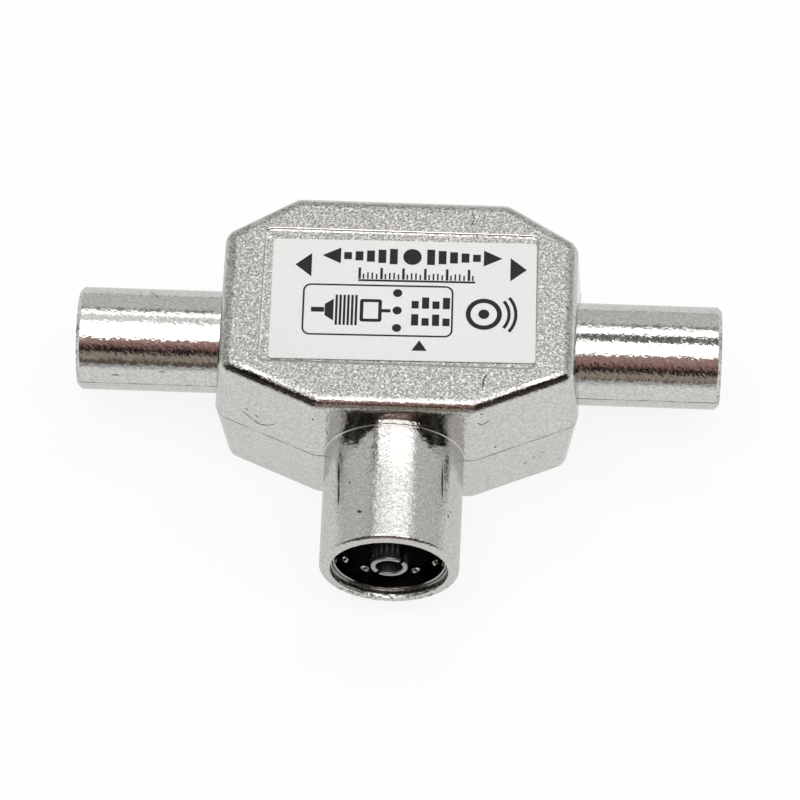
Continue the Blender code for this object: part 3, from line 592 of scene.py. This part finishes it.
def flash_ridge(bm, flash):
    """Raise a thin line along a tube where the two halves of the mould met."""
    for height in (-0.00005, 0.0, 0.00005):
        bmesh.ops.bisect_plane(bm, geom=bm.verts[:] + bm.edges[:] + bm.faces[:], dist=MERGE / 10,
                               plane_co=(0, 0, AXIS_HEIGHT + height), plane_no=(0, 0, 1))
    crest = [vert for vert in bm.verts if abs(vert.co.z - AXIS_HEIGHT) < MERGE and abs(vert.co.y) > 0.004]
    for vert in crest:
        vert.co.y += math.copysign(flash * (0.6 + 0.8 * abs(noise.noise(vert.co * 900))), vert.co.y)


def barrel_solid(ports, port, flash):
    """One side barrel from inside the body to its chamfered end."""
    radius, reach = ports.barrel / 2, ports.barrel_reach
    lip = [(radius, reach - 0.00037), (radius - 0.00002, reach - 0.00033),
           (radius - 0.00033, reach - 0.00002), (radius - 0.00037, reach)]
    steps = [(radius, TUBE_START + 0.0012 * step) for step in range(1, 23)]
    profile = [(0, TUBE_START), (radius, TUBE_START)] + steps + lip + [(0, reach)]
    bm = along_port(spun(profile, 96), port)
    flash_ridge(bm, flash)
    return bm


def socket_solid(ports, front):
    """The front tube with its root fillet, slight taper and worn lip."""
    root, mouth = ports.socket_root / 2, ports.socket_mouth / 2
    small, roll = 0.0001, 0.0004
    fillet = rolled(root + small, front + small, small, -90, -180, 8)
    lip = rolled(mouth - roll, ports.socket_reach - roll, roll, 0, 90, 8)
    profile = [(0, TUBE_START), (root + small, TUBE_START)] + fillet + lip + [(0, ports.socket_reach)]
    bm = along_port(spun(profile, 256), "front")
    axis = Vector((0, 0, AXIS_HEIGHT))
    for vert in bm.verts:
        away = vert.co - axis
        away.y = 0
        if vert.co.y < -ports.socket_reach + 0.00045 and away.length > mouth - 0.00045:
            worn = 0.25 + 0.75 * max(0.0, -away.z / mouth)
            vert.co.y += 0.00010 * worn * abs(noise.noise(vert.co * 2600))
            vert.co -= away.normalized() * (0.00012 * worn * abs(noise.noise(vert.co * 1700)))
    return bm


def stepped_bore(hole, wall, bore, chamfer, reach, ledge=0.00002, segments=96):
    """The stepped hole along a port, down to the hollow, with a ledge just inside its mouth."""
    start, shoulder = wall - HOLLOW_INSET - 0.001, wall - SHOULDER_DEPTH
    step, past = reach - 0.0007, reach + 0.001
    return spun([(0, start), (hole, start), (hole, shoulder), (bore, shoulder), (bore, step),
                 (bore + ledge, step), (bore + ledge, reach - 0.0003), (bore + chamfer, reach),
                 (bore + chamfer, past), (0, past)], segments)


def make_casting(sizes, ports, material):
    """The die-cast housing with everything that is cast in it."""
    beside, half_line, corner_radius = 0.00002, 0.00006, sizes.upright_radius
    levels = [(sizes.lower_draft, 0.0), (beside, AXIS_HEIGHT - half_line), (-sizes.flash, AXIS_HEIGHT),
              (beside, AXIS_HEIGHT + half_line), (sizes.upper_draft, sizes.height)]
    body = outline_solid(sizes, levels, corner_radius, 5, (sizes.bottom_radius, sizes.top_radius))
    casting = new_piece("casting", body, material)
    for port in ("left", "right"):
        combine(casting, barrel_solid(ports, port, sizes.flash), "UNION")
    combine(casting, socket_solid(ports, sizes.front), "UNION")
    hollow = [(HOLLOW_INSET, 0.0004), (HOLLOW_INSET + 0.0003, sizes.height - 0.0018)]
    rebate = [(COVER_INSET, -0.0008), (COVER_INSET, 0.00085)]
    for levels in (hollow, rebate):
        combine(casting, outline_solid(sizes, levels, corner_radius, 4), "DIFFERENCE")
    tip, foot, shoulder, shank, root = 0.00055, 0.00875, 0.0104, 0.0012, 0.0163
    for x, y in BOARD_POSTS:
        post = spun([(0, foot), (tip, foot), (tip, shoulder), (shank, shoulder), (shank, root),
                     (0, root)], 32)
        bmesh.ops.translate(post, vec=(x, y, 0), verts=post.verts)
        combine(casting, post, "UNION")
    half = sizes.width / 2
    for port in ("left", "right"):
        bore = stepped_bore(BARREL_HOLE, half, ports.barrel_bore / 2, 0.00012, ports.barrel_reach)
        combine(casting, along_port(bore, port), "DIFFERENCE")
    bore = stepped_bore(SOCKET_HOLE, sizes.front, ports.socket_bore / 2, 0.00016, ports.socket_reach,
                        0.00008, 256)
    combine(casting, along_port(bore, "front"), "DIFFERENCE")
    combine(casting, panel_tool(sizes), "DIFFERENCE")
    shade_round(casting.data, 14.5)
    even = casting.modifiers.new("even_shading", "WEIGHTED_NORMAL")
    even.keep_sharp = True
    even.weight = 80
    return settle(casting, "plated_casting", "housing")


# Label
def bar(bm, left, low, right, high):
    """A printed rectangle."""
    made = bmesh.ops.create_grid(bm, x_segments=1, y_segments=1, size=0.5)["verts"]
    bmesh.ops.scale(bm, vec=(right - left, high - low, 1), verts=made)
    bmesh.ops.translate(bm, vec=((left + right) / 2, (low + high) / 2, 0), verts=made)


def disc(bm, x, y, radius):
    """A printed dot."""
    made = bmesh.ops.create_circle(bm, cap_ends=True, segments=32, radius=radius)["verts"]
    bmesh.ops.translate(bm, vec=(x, y, 0), verts=made)


def patch(bm, points):
    """A printed shape with straight sides."""
    bm.faces.new([bm.verts.new((x, y, 0)) for x, y in points])


def band(bm, x, y, inner, outer, start=0.0, sweep=360.0):
    """A printed ring, or part of one, angles in degrees."""
    turn = math.radians(start)
    ends = [bm.verts.new((x + radius * math.cos(turn), y + radius * math.sin(turn), 0))
            for radius in (inner, outer)]
    full = sweep >= 360
    bmesh.ops.spin(bm, geom=ends + [bm.edges.new(ends)], cent=(x, y, 0), axis=(0, 0, 1),
                   angle=math.radians(sweep), steps=max(6, round(sweep / 9)), use_merge=full,
                   use_duplicate=False)


def frame_line(bm, left, low, right, high, radius, line):
    """A printed rectangle with round corners, drawn as a line."""
    bar(bm, left + radius, high - line, right - radius, high)
    bar(bm, left + radius, low, right - radius, low + line)
    bar(bm, left, low + radius, left + line, high - radius)
    bar(bm, right - line, low + radius, right, high - radius)
    for x, y, start in ((right - radius, high - radius, 0), (left + radius, high - radius, 90),
                        (left + radius, low + radius, 180), (right - radius, low + radius, 270)):
        band(bm, x, y, radius - line, radius, start, 90)


def label_print():
    """Plain signs for a splitter: the two-way line, a scale, a plug, a socket and arrows. Millimetres."""
    bm = bmesh.new()
    # Signal going both ways from the middle
    for side in (-1, 1):
        tip, middle = 0.7 + side * 8.25, 0.7
        patch(bm, [(tip, 4.65), (tip - side * 1.7, 5.5), (tip - side * 1.7, 3.8)][::side])
        for step in range(5):
            near = middle + side * (1.35 + 1.05 * step)
            far = near + side * 0.72
            reach = 0.82 - 0.11 * step
            bar(bm, min(near, far), 4.65 - reach, max(near, far), 4.65 + reach)
    disc(bm, 0.7, 4.65, 0.85)
    # Scale
    bar(bm, -4.2, 1.95, 6.5, 2.15)
    for step in range(27):
        x = -4.2 + step * 0.4
        tall = 1.25 if step % 5 == 0 else (0.75 if step % 5 in (2, 3) else 0.6)
        bar(bm, x, 2.2, x + (0.24 if step % 5 == 0 else 0.15), 2.15 + tall)
    # Framed plug, seen from the side
    frame_line(bm, -9.2, -3.85, 4.55, 1.6, 0.75, 0.17)
    bar(bm, -8.4, -1.4, -7.2, -0.9)
    patch(bm, [(-7.15, -1.75), (-6.35, -2.3), (-6.35, 0.0), (-7.15, -0.55)])
    for step in range(6):
        bar(bm, -6.2 + step * 0.36, -2.75, -5.98 + step * 0.36, 0.45)
    frame_line(bm, -3.95, -2.35, -1.95, 0.05, 0.25, 0.32)
    bar(bm, -1.95, -1.32, -1.15, -0.98)
    for step in range(3):
        disc(bm, -0.55, 0.75 - step * 1.85, 0.42)
    for row, low in enumerate((-0.85, -2.65)):
        for step in range(4):
            bar(bm, 0.75 + step * 0.95, low, 1.4 + step * 0.95, low + (1.2 if (step + row) % 2 else 0.8))
    # Socket seen from the front, and waves
    band(bm, 7.35, -1.3, 1.2, 1.65)
    disc(bm, 7.35, -1.3, 0.5)
    for step in range(2):
        band(bm, 7.35, -1.3, 2.15 + 0.62 * step, 2.45 + 0.62 * step, -38, 76)
    # Arrows at the three ports
    patch(bm, [(-10.0, 3.6), (-8.5, 2.35), (-8.5, 4.85)])
    patch(bm, [(11.2, 3.5), (9.7, 4.75), (9.7, 2.25)])
    patch(bm, [(0.85, -5.3), (2.25, -5.3), (1.55, -4.2)])
    bmesh.ops.recalc_face_normals(bm, faces=bm.faces)
    return bm


def label_plane(bm, level):
    """Lay a shape in millimetres on the label, which lies a little askew."""
    centre = (LABEL_LOW + LABEL_HIGH) / 2
    turn = Matrix.Rotation(math.radians(LABEL_TURN), 4, "Z")
    bm.transform(Matrix.Translation((centre.x, centre.y, level)) @ turn @ Matrix.Scale(MILLIMETRE, 4))


def make_label(colours):
    """The sheet in its panel and the raised film of ink."""
    width, depth, thick, corner, film = 24.2, 12.7, 0.1, 0.3, 0.01
    sheet = block((width, depth, thick), (0, 0, 0))
    round_edges(sheet, upright_edges(sheet), corner, 5)
    rim = [edge for edge in sheet.edges if all(vert.co.z > 0.4 * thick for vert in edge.verts)]
    round_edges(sheet, rim, 0.2 * thick, 2)
    label_plane(sheet, (LABEL_LOW.z + LABEL_HIGH.z) / 2)
    settle(new_piece("label_sheet", sheet, paper_finish(colours.paper)), "label_print", "label")
    ink = label_print()
    made = bmesh.ops.extrude_face_region(ink, geom=ink.faces[:])["geom"]
    bmesh.ops.translate(ink, vec=(0, 0, film),
                        verts=[item for item in made if isinstance(item, bmesh.types.BMVert)])
    label_plane(ink, LABEL_HIGH.z)
    settle(new_piece("label_ink", ink, ink_finish(colours.ink)), "label_print")


# Contacts and insulators
def contact_places(wall):
    """Where a contact's flange lies on its insulator, and where its thicker inner part ends."""
    return wall - SHOULDER_DEPTH + INSULATOR_LENGTH + PLAY, wall - HOLLOW_INSET - SPIGOT_PAST_WALL - PLAY


def make_sleeve(ports, front, material):
    """The sprung lining of the socket with its ring of inward bumps, each a cap of a sphere."""
    outer = ports.socket_bore / 2 - PRESS_FIT
    inner = outer - 0.0002
    mouth = ports.socket_reach - 0.0008
    base = contact_places(front)[0]
    depth = ports.socket_reach - 0.0027
    bumps, reach, slope = 13, 0.00052, math.radians(66)
    cap = reach / math.sin(slope)
    lower = [base + (depth - reach - base) * step / 16 for step in range(16)]
    bumped = [depth - reach + reach * step / 9 for step in range(19)]
    upper = [depth + reach + (mouth - 0.00006 - depth - reach) * step / 3 for step in range(1, 4)]
    wall = [(inner, height) for height in lower + bumped + upper]
    profile = wall + [(inner + 0.00006, mouth), (outer - 0.00004, mouth), (outer, mouth - 0.00004),
                      (outer, base)]
    bm = spun(profile, 520, closed=True)
    spacing = math.tau / bumps
    for vert in bm.verts:
        radius = vert.co.xy.length
        turn = math.atan2(vert.co.y, vert.co.x) + math.pi / 2
        off = (turn + spacing / 2) % spacing - spacing / 2
        away = math.hypot(off * inner, vert.co.z - depth) / reach
        if radius < inner + MERGE and away < 1:
            rise = math.sqrt(cap ** 2 - (away * reach) ** 2) - cap * math.cos(slope)
            vert.co.xy *= (inner - rise) / radius
    sleeve = new_piece("contact_sleeve", along_port(bm, "front"), material)
    settle(sleeve, "plated_contact", "in_contact_sleeve")


def contact_tail(spigot_end):
    """The inner end of a contact: thin tail and the head swaged against its insulator."""
    end = spigot_end - 0.0034
    return [(0, end), (0.0005, end), (0.0006, end + 0.0001), (0.0006, spigot_end - 0.0004),
            (0.0014, spigot_end - 0.0004), (0.0014, spigot_end)]


def make_split_contact(ports, front, material):
    """The socket's centre contact, split across its end."""
    outer, bore, roll = ports.contact / 2, ports.contact_bore / 2, 0.00015
    flange, spigot_end = contact_places(front)
    mouth = ports.socket_reach - 0.0003
    floor = flange + 0.0020
    profile = contact_tail(spigot_end) + [(0.0011, spigot_end), (0.0011, flange), (outer, flange)]
    profile += rolled(outer - roll, mouth - roll, roll, 0, 90, 4)
    profile += rolled(bore + roll, mouth - roll, roll, 90, 180, 4)
    profile += [(bore, floor), (0, floor - bore / 2)]
    contact = new_piece("split_contact", spun(profile, 64), material)
    slit = block((0.0068, 0.0004, 2 * (mouth - floor - 0.0010)), (0, 0, mouth))
    bmesh.ops.rotate(slit, cent=(0, 0, 0), matrix=Matrix.Rotation(math.radians(45), 3, "Z"), verts=slit.verts)
    combine(contact, slit, "DIFFERENCE")
    along_port(contact.data, "front")
    shade_round(contact.data)
    settle(contact, "plated_contact", "in_socket_contact")


def make_pin(ports, port, half, material):
    """A side port's centre pin with its round nose."""
    pin = ports.pin / 2
    flange, spigot_end = contact_places(half)
    tip = ports.barrel_reach - 0.0010
    shank, collar, thick = 0.0009, 0.0016, 0.0005
    profile = contact_tail(spigot_end) + [(shank, spigot_end), (shank, flange), (collar, flange),
                                          (collar, flange + thick), (pin, flange + thick)]
    profile += rolled(0, tip - pin, pin, 0, 90, 12)[:-1] + [(0, tip)]
    settle(new_piece("pin_" + port, along_port(spun(profile, 48), port), material), "plated_contact",
           "out_%s_pin" % port)


def make_insulator(name, port, wall, bore, hole, eye, material, node):
    """A stepped disc pressed to the shoulder of a port, with a moulded ring in its face."""
    rim, spigot = bore - PRESS_FIT, hole - PRESS_FIT
    seat = wall - SHOULDER_DEPTH + PLAY
    face = wall - SHOULDER_DEPTH + INSULATOR_LENGTH
    inside = wall - HOLLOW_INSET - SPIGOT_PAST_WALL
    roll = groove = 0.0002
    profile = [(eye, inside), (spigot, inside), (spigot, seat), (rim, seat)]
    profile += rolled(rim - roll, face - roll, roll, 0, 90, 4)
    profile += [(rim - 0.0007, face), (rim - 0.0008, face - groove), (rim - 0.0012, face - groove),
                (rim - 0.0013, face), (eye, face)]
    disc_solid = along_port(spun(profile, 96, closed=True), port)
    settle(new_piece(name, disc_solid, material), "insulator_plastic", node)


def make_cover(sizes, material):
    """The pressed cover under the body with its stiffening bead."""
    edge, soft, sheet, bead, slope = COVER_INSET + PLAY, 0.0002, 0.0008, 0.0003, 0.0003
    rise = edge + 0.0020
    crown = rise + slope
    fall = crown + 0.0007
    path = [(fall + slope, 0), (fall, bead), (crown, bead), (rise, 0), (edge + soft, 0), (edge, soft),
            (edge, sheet), (rise, sheet), (crown, sheet + bead), (fall, sheet + bead), (fall + slope, sheet)]
    cover = new_piece("cover", outline_solid(sizes, path, sizes.upright_radius, 4), material)
    settle(cover, "plated_cover", "bottom_cover")


# Stage
LIGHT_HEIGHT, RAIL_HEIGHT, FLOOR_HEIGHT = 0.5, 0.488, -0.00002
RAIL = ((-0.4, 0.065), (-0.06, 0.065), (0.03, -0.015), (0.4, -0.015), (0.4, 0.145), (0.03, 0.145),
        (-0.06, 0.235), (-0.4, 0.235))
# Name, near and far edge, and brightness
SOFTBOXES = (("overhead_softbox", -0.27, 0.09, 2.65), ("rear_softbox", 0.09, 0.3475, 1.36))
CAMERA_PLACE, CAMERA_TURN = (0.010312, -0.212201, 0.370424), (29.7626, 0.2513, 2.3374)
CAMERA_LENS, CAMERA_SHIFT = 203.4, -0.0002


def studio_sky(tree):
    """Soft grey studio, darker towards the side that the picture is taken from."""
    sky = Wiring(tree)
    x, y, z = sky.axes(sky.node("TexCoord").outputs["Generated"])
    level = sky.maths("DIVIDE", sky.maths("ARCSINE", z), math.pi / 2)
    slant = sky.times(sky.maths("MINIMUM", sky.maths("MAXIMUM", x, -0.1), 0.1), 0.85)
    leaning = sky.maths("ADD", sky.maths("ADD", level, 0.015), slant)
    turn = sky.maths("ARCTAN2", x, sky.times(y, -1.0))
    aside = sky.maths("DIVIDE", sky.maths("ABSOLUTE", turn), math.pi)
    grey, dark, black = (0.72, 0.725, 0.69), (0.12, 0.11, 0.105), (0.012, 0.009, 0.009)
    brown, dusk, rose = (0.40, 0.34, 0.29), (0.13, 0.11, 0.09), (0.46, 0.29, 0.26)
    skirt, green, on, off = (0.50, 0.50, 0.47), (0.08, 0.085, 0.07), (1.0, 1.0, 1.0), (0.0, 0.0, 0.0)
    around = sky.ramp(level, [(0.0, skirt), (0.02, skirt), (0.035, grey), (0.51, grey), (0.53, dark),
                              (0.55, dark), (0.57, grey), (0.72, (0.92, 0.92, 0.90)), (1.0, on)])
    facing = sky.ramp(leaning, [(0.0, dusk), (0.06, dusk), (0.11, brown), (0.23, brown), (0.30, black),
                                (0.37, black), (0.42, (0.20, 0.11, 0.10)), (0.50, (0.38, 0.22, 0.205)),
                                (0.58, rose), (0.76, (0.38, 0.29, 0.26)), (0.84, grey)])
    beside = sky.ramp(level, [(0.0, black), (0.13, black), (0.18, green), (0.22, green), (0.27, black),
                              (0.62, black), (0.7, grey)])
    near = sky.ramp(aside, [(0.0, on), (0.145, on), (0.18, off)])
    wide = sky.ramp(aside, [(0.0, on), (0.37, on), (0.40, off)])
    return sky.blend(near, sky.blend(wide, around, beside), facing)


def floor_finish():
    """White floor that shows as white, also in the metal, and still takes part of the shadow; painted shade
    greys it towards the front.
    """
    net = Finish("floor_white")
    cloud = net.grain(0.2, 2.0)
    # Painted shade: the floor greys towards the front, away from the object, and its glow dims with it
    painted_front_shade = net.band(net.axes(net.place)["Y"], -0.046, -0.10)
    pale = net.blend(cloud, (0.95, 0.95, 0.95), (0.97, 0.97, 0.97))
    net.finish(net.blend(painted_front_shade, pale, (0.55, 0.54, 0.52)), 0.7)
    rays = net.node("LightPath")
    seen = net.maths("ADD", rays.outputs["Is Camera Ray"], rays.outputs["Is Glossy Ray"])
    seen = net.maths("ADD", seen, rays.outputs["Is Transmission Ray"], clamp=True)
    dimming = net.band(painted_front_shade, 0.0, 1.0, 1.0, 0.55, smooth=False)
    glow = net.node("Emission", Strength=dimming)
    both = net.node("MixShader")
    net.link(net.times(seen, 0.87), both.inputs[0])
    net.link(net.shader.outputs[0], both.inputs[1])
    net.link(glow.outputs[0], both.inputs[2])
    net.link(both.outputs[0], net.tree.nodes["Material Output"].inputs["Surface"])
    return net.material


def rail_finish():
    """Dull net, open and light at its left end, closed and dark at its right."""
    net = Finish("rail_paint")
    aside = net.band(net.axes(net.place)["X"], -0.05, 0.01)
    base = net.blend(aside, (0.42, 0.42, 0.40), (0.08, 0.085, 0.08))
    net.feed(net.shader.inputs["Alpha"], net.band(aside, 0.0, 1.0, 0.62, 0.97))
    return net.finish(base, 0.6)


def make_stage():
    """Floor, studio, overhead soft light and the camera."""
    scene = bpy.context.scene
    bm = bmesh.new()
    bmesh.ops.create_grid(bm, x_segments=1, y_segments=1, size=2.5)
    bmesh.ops.translate(bm, vec=(0, 0, FLOOR_HEIGHT), verts=bm.verts)
    new_piece("floor", bm, floor_finish())

    # The barrels mirror a dark rail under the soft light
    bm = bmesh.new()
    patch(bm, RAIL)
    bmesh.ops.translate(bm, vec=(0, 0, RAIL_HEIGHT), verts=bm.verts)
    new_piece("rail", bm, rail_finish())

    for name, low, high, level in SOFTBOXES:
        lamp = bpy.data.lights.new(name, "AREA")
        lamp.shape = "RECTANGLE"
        lamp.size, lamp.size_y = 0.56, high - low
        lamp.energy = level * math.pi * lamp.size * lamp.size_y
        box = bpy.data.objects.new(name, lamp)
        box.location = (0.06, (low + high) / 2, LIGHT_HEIGHT)
        scene.collection.objects.link(box)

    world = bpy.data.worlds.new("studio")
    world.use_nodes = True
    background = world.node_tree.nodes["Background"]
    world.node_tree.links.new(studio_sky(world.node_tree), background.inputs["Color"])
    scene.world = world
    scene.view_settings.view_transform = "Standard"

    data = bpy.data.cameras.new("camera")
    data.lens = CAMERA_LENS
    data.shift_x = CAMERA_SHIFT
    data.clip_start = 0.01
    camera = bpy.data.objects.new("camera", data)
    camera.location = CAMERA_PLACE
    camera.rotation_euler = [math.radians(angle) for angle in CAMERA_TURN]
    scene.collection.objects.link(camera)
    scene.camera = camera


# Operators
class BuildStage(bpy.types.Operator):
    """Set up the floor, the light and the camera"""

    bl_idname = "adapter.build_stage"
    bl_label = "Stage"

    def execute(self, context):
        make_stage()
        return {"FINISHED"}


class BuildCasting(bpy.types.Operator):
    """Make the die-cast housing with its three tubes"""

    bl_idname = "adapter.build_casting"
    bl_label = "Casting"

    def execute(self, context):
        scene = context.scene
        make_casting(scene.adapter_housing, scene.adapter_ports, casting_finish(scene.adapter_colours.nickel))
        return {"FINISHED"}


class BuildCover(bpy.types.Operator):
    """Make the pressed cover under the housing"""

    bl_idname = "adapter.build_cover"
    bl_label = "Cover"

    def execute(self, context):
        make_cover(context.scene.adapter_housing, pressed_finish(context.scene.adapter_colours.nickel))
        return {"FINISHED"}


class BuildLabel(bpy.types.Operator):
    """Make the label and its print"""

    bl_idname = "adapter.build_label"
    bl_label = "Label"

    def execute(self, context):
        make_label(context.scene.adapter_colours)
        return {"FINISHED"}


class BuildContacts(bpy.types.Operator):
    """Make the contact sleeve, the split contact and the two pins"""

    bl_idname = "adapter.build_contacts"
    bl_label = "Contacts"

    def execute(self, context):
        scene = context.scene
        housing, ports, tint = scene.adapter_housing, scene.adapter_ports, scene.adapter_colours.contact
        make_sleeve(ports, housing.front, turned_finish("contact_sleeve_plate", tint, 0.1))
        bright = turned_finish("contact_plate", tint, 0.16)
        # The split contact takes the same plate with painted shade, darkened to 0.7 for its place deep in the
        # socket, and a rougher gloss
        dull_shaded_plate = turned_finish("socket_contact_painted_shade_plate", shade(tint, 0.7), 0.22)
        make_split_contact(ports, housing.front, dull_shaded_plate)
        for port in ("left", "right"):
            make_pin(ports, port, housing.width / 2, bright)
        return {"FINISHED"}


class BuildInsulators(bpy.types.Operator):
    """Make the three insulators"""

    bl_idname = "adapter.build_insulators"
    bl_label = "Insulators"

    def execute(self, context):
        scene = context.scene
        housing, ports = scene.adapter_housing, scene.adapter_ports
        plastic = moulded_finish(scene.adapter_colours.plastic)
        make_insulator("insulator_front", "front", housing.front, ports.socket_bore / 2, SOCKET_HOLE,
                       0.00113, plastic, "in_insulator")
        for port in ("left", "right"):
            make_insulator("insulator_" + port, port, housing.width / 2, ports.barrel_bore / 2, BARREL_HOLE,
                           0.00093, plastic, "out_%s_insulator" % port)
        return {"FINISHED"}


class FinishBoard(bpy.types.Operator):
    """Give the board and the parts on it their finishes"""

    bl_idname = "adapter.finish_board"
    bl_label = "Board"

    def execute(self, context):
        finishes = {name: plain_finish(name, *values) for name, values in BOARD_FINISHES.items()}
        finishes["board_laminate"] = laminate_finish()
        for subpart in frame["record"]["subparts"]:
            if subpart["material_slot"] in finishes:
                for slot in frame["nodes"][subpart["node"]].material_slots:
                    slot.material = finishes[subpart["material_slot"]]
        return {"FINISHED"}


class AdapterPanel(bpy.types.Panel):
    """Buttons for each piece of the adapter"""

    bl_idname = "VIEW3D_PT_adapter"
    bl_label = "Coaxial T Adapter"
    bl_space_type = "VIEW_3D"
    bl_region_type = "UI"
    bl_category = "Adapter"

    def draw(self, context):
        for name, group in GROUPS:
            for key in group.__annotations__:
                self.layout.prop(getattr(context.scene, name), key)
        for step in STEPS:
            self.layout.operator(step.bl_idname)


STEPS = (BuildStage, BuildCasting, BuildCover, BuildLabel, BuildContacts, BuildInsulators, FinishBoard)
GROUPS = (("adapter_housing", HousingSizes), ("adapter_ports", PortSizes),
          ("adapter_colours", AdapterColours))


def register():
    """Add the sizes, colours, buttons and panel."""
    for name, group in GROUPS:
        bpy.utils.register_class(group)
        setattr(bpy.types.Scene, name, bpy.props.PointerProperty(type=group))
    for step in STEPS + (AdapterPanel,):
        bpy.utils.register_class(step)


def unregister():
    """Take them away again."""
    for step in reversed(STEPS + (AdapterPanel,)):
        bpy.utils.unregister_class(step)
    for name, group in reversed(GROUPS):
        delattr(bpy.types.Scene, name)
        bpy.utils.unregister_class(group)


def main():
    """Build everything."""
    register()
    for step in STEPS:
        getattr(bpy.ops.adapter, step.bl_idname.split(".")[1])()


if __name__ == "__main__":
    main()
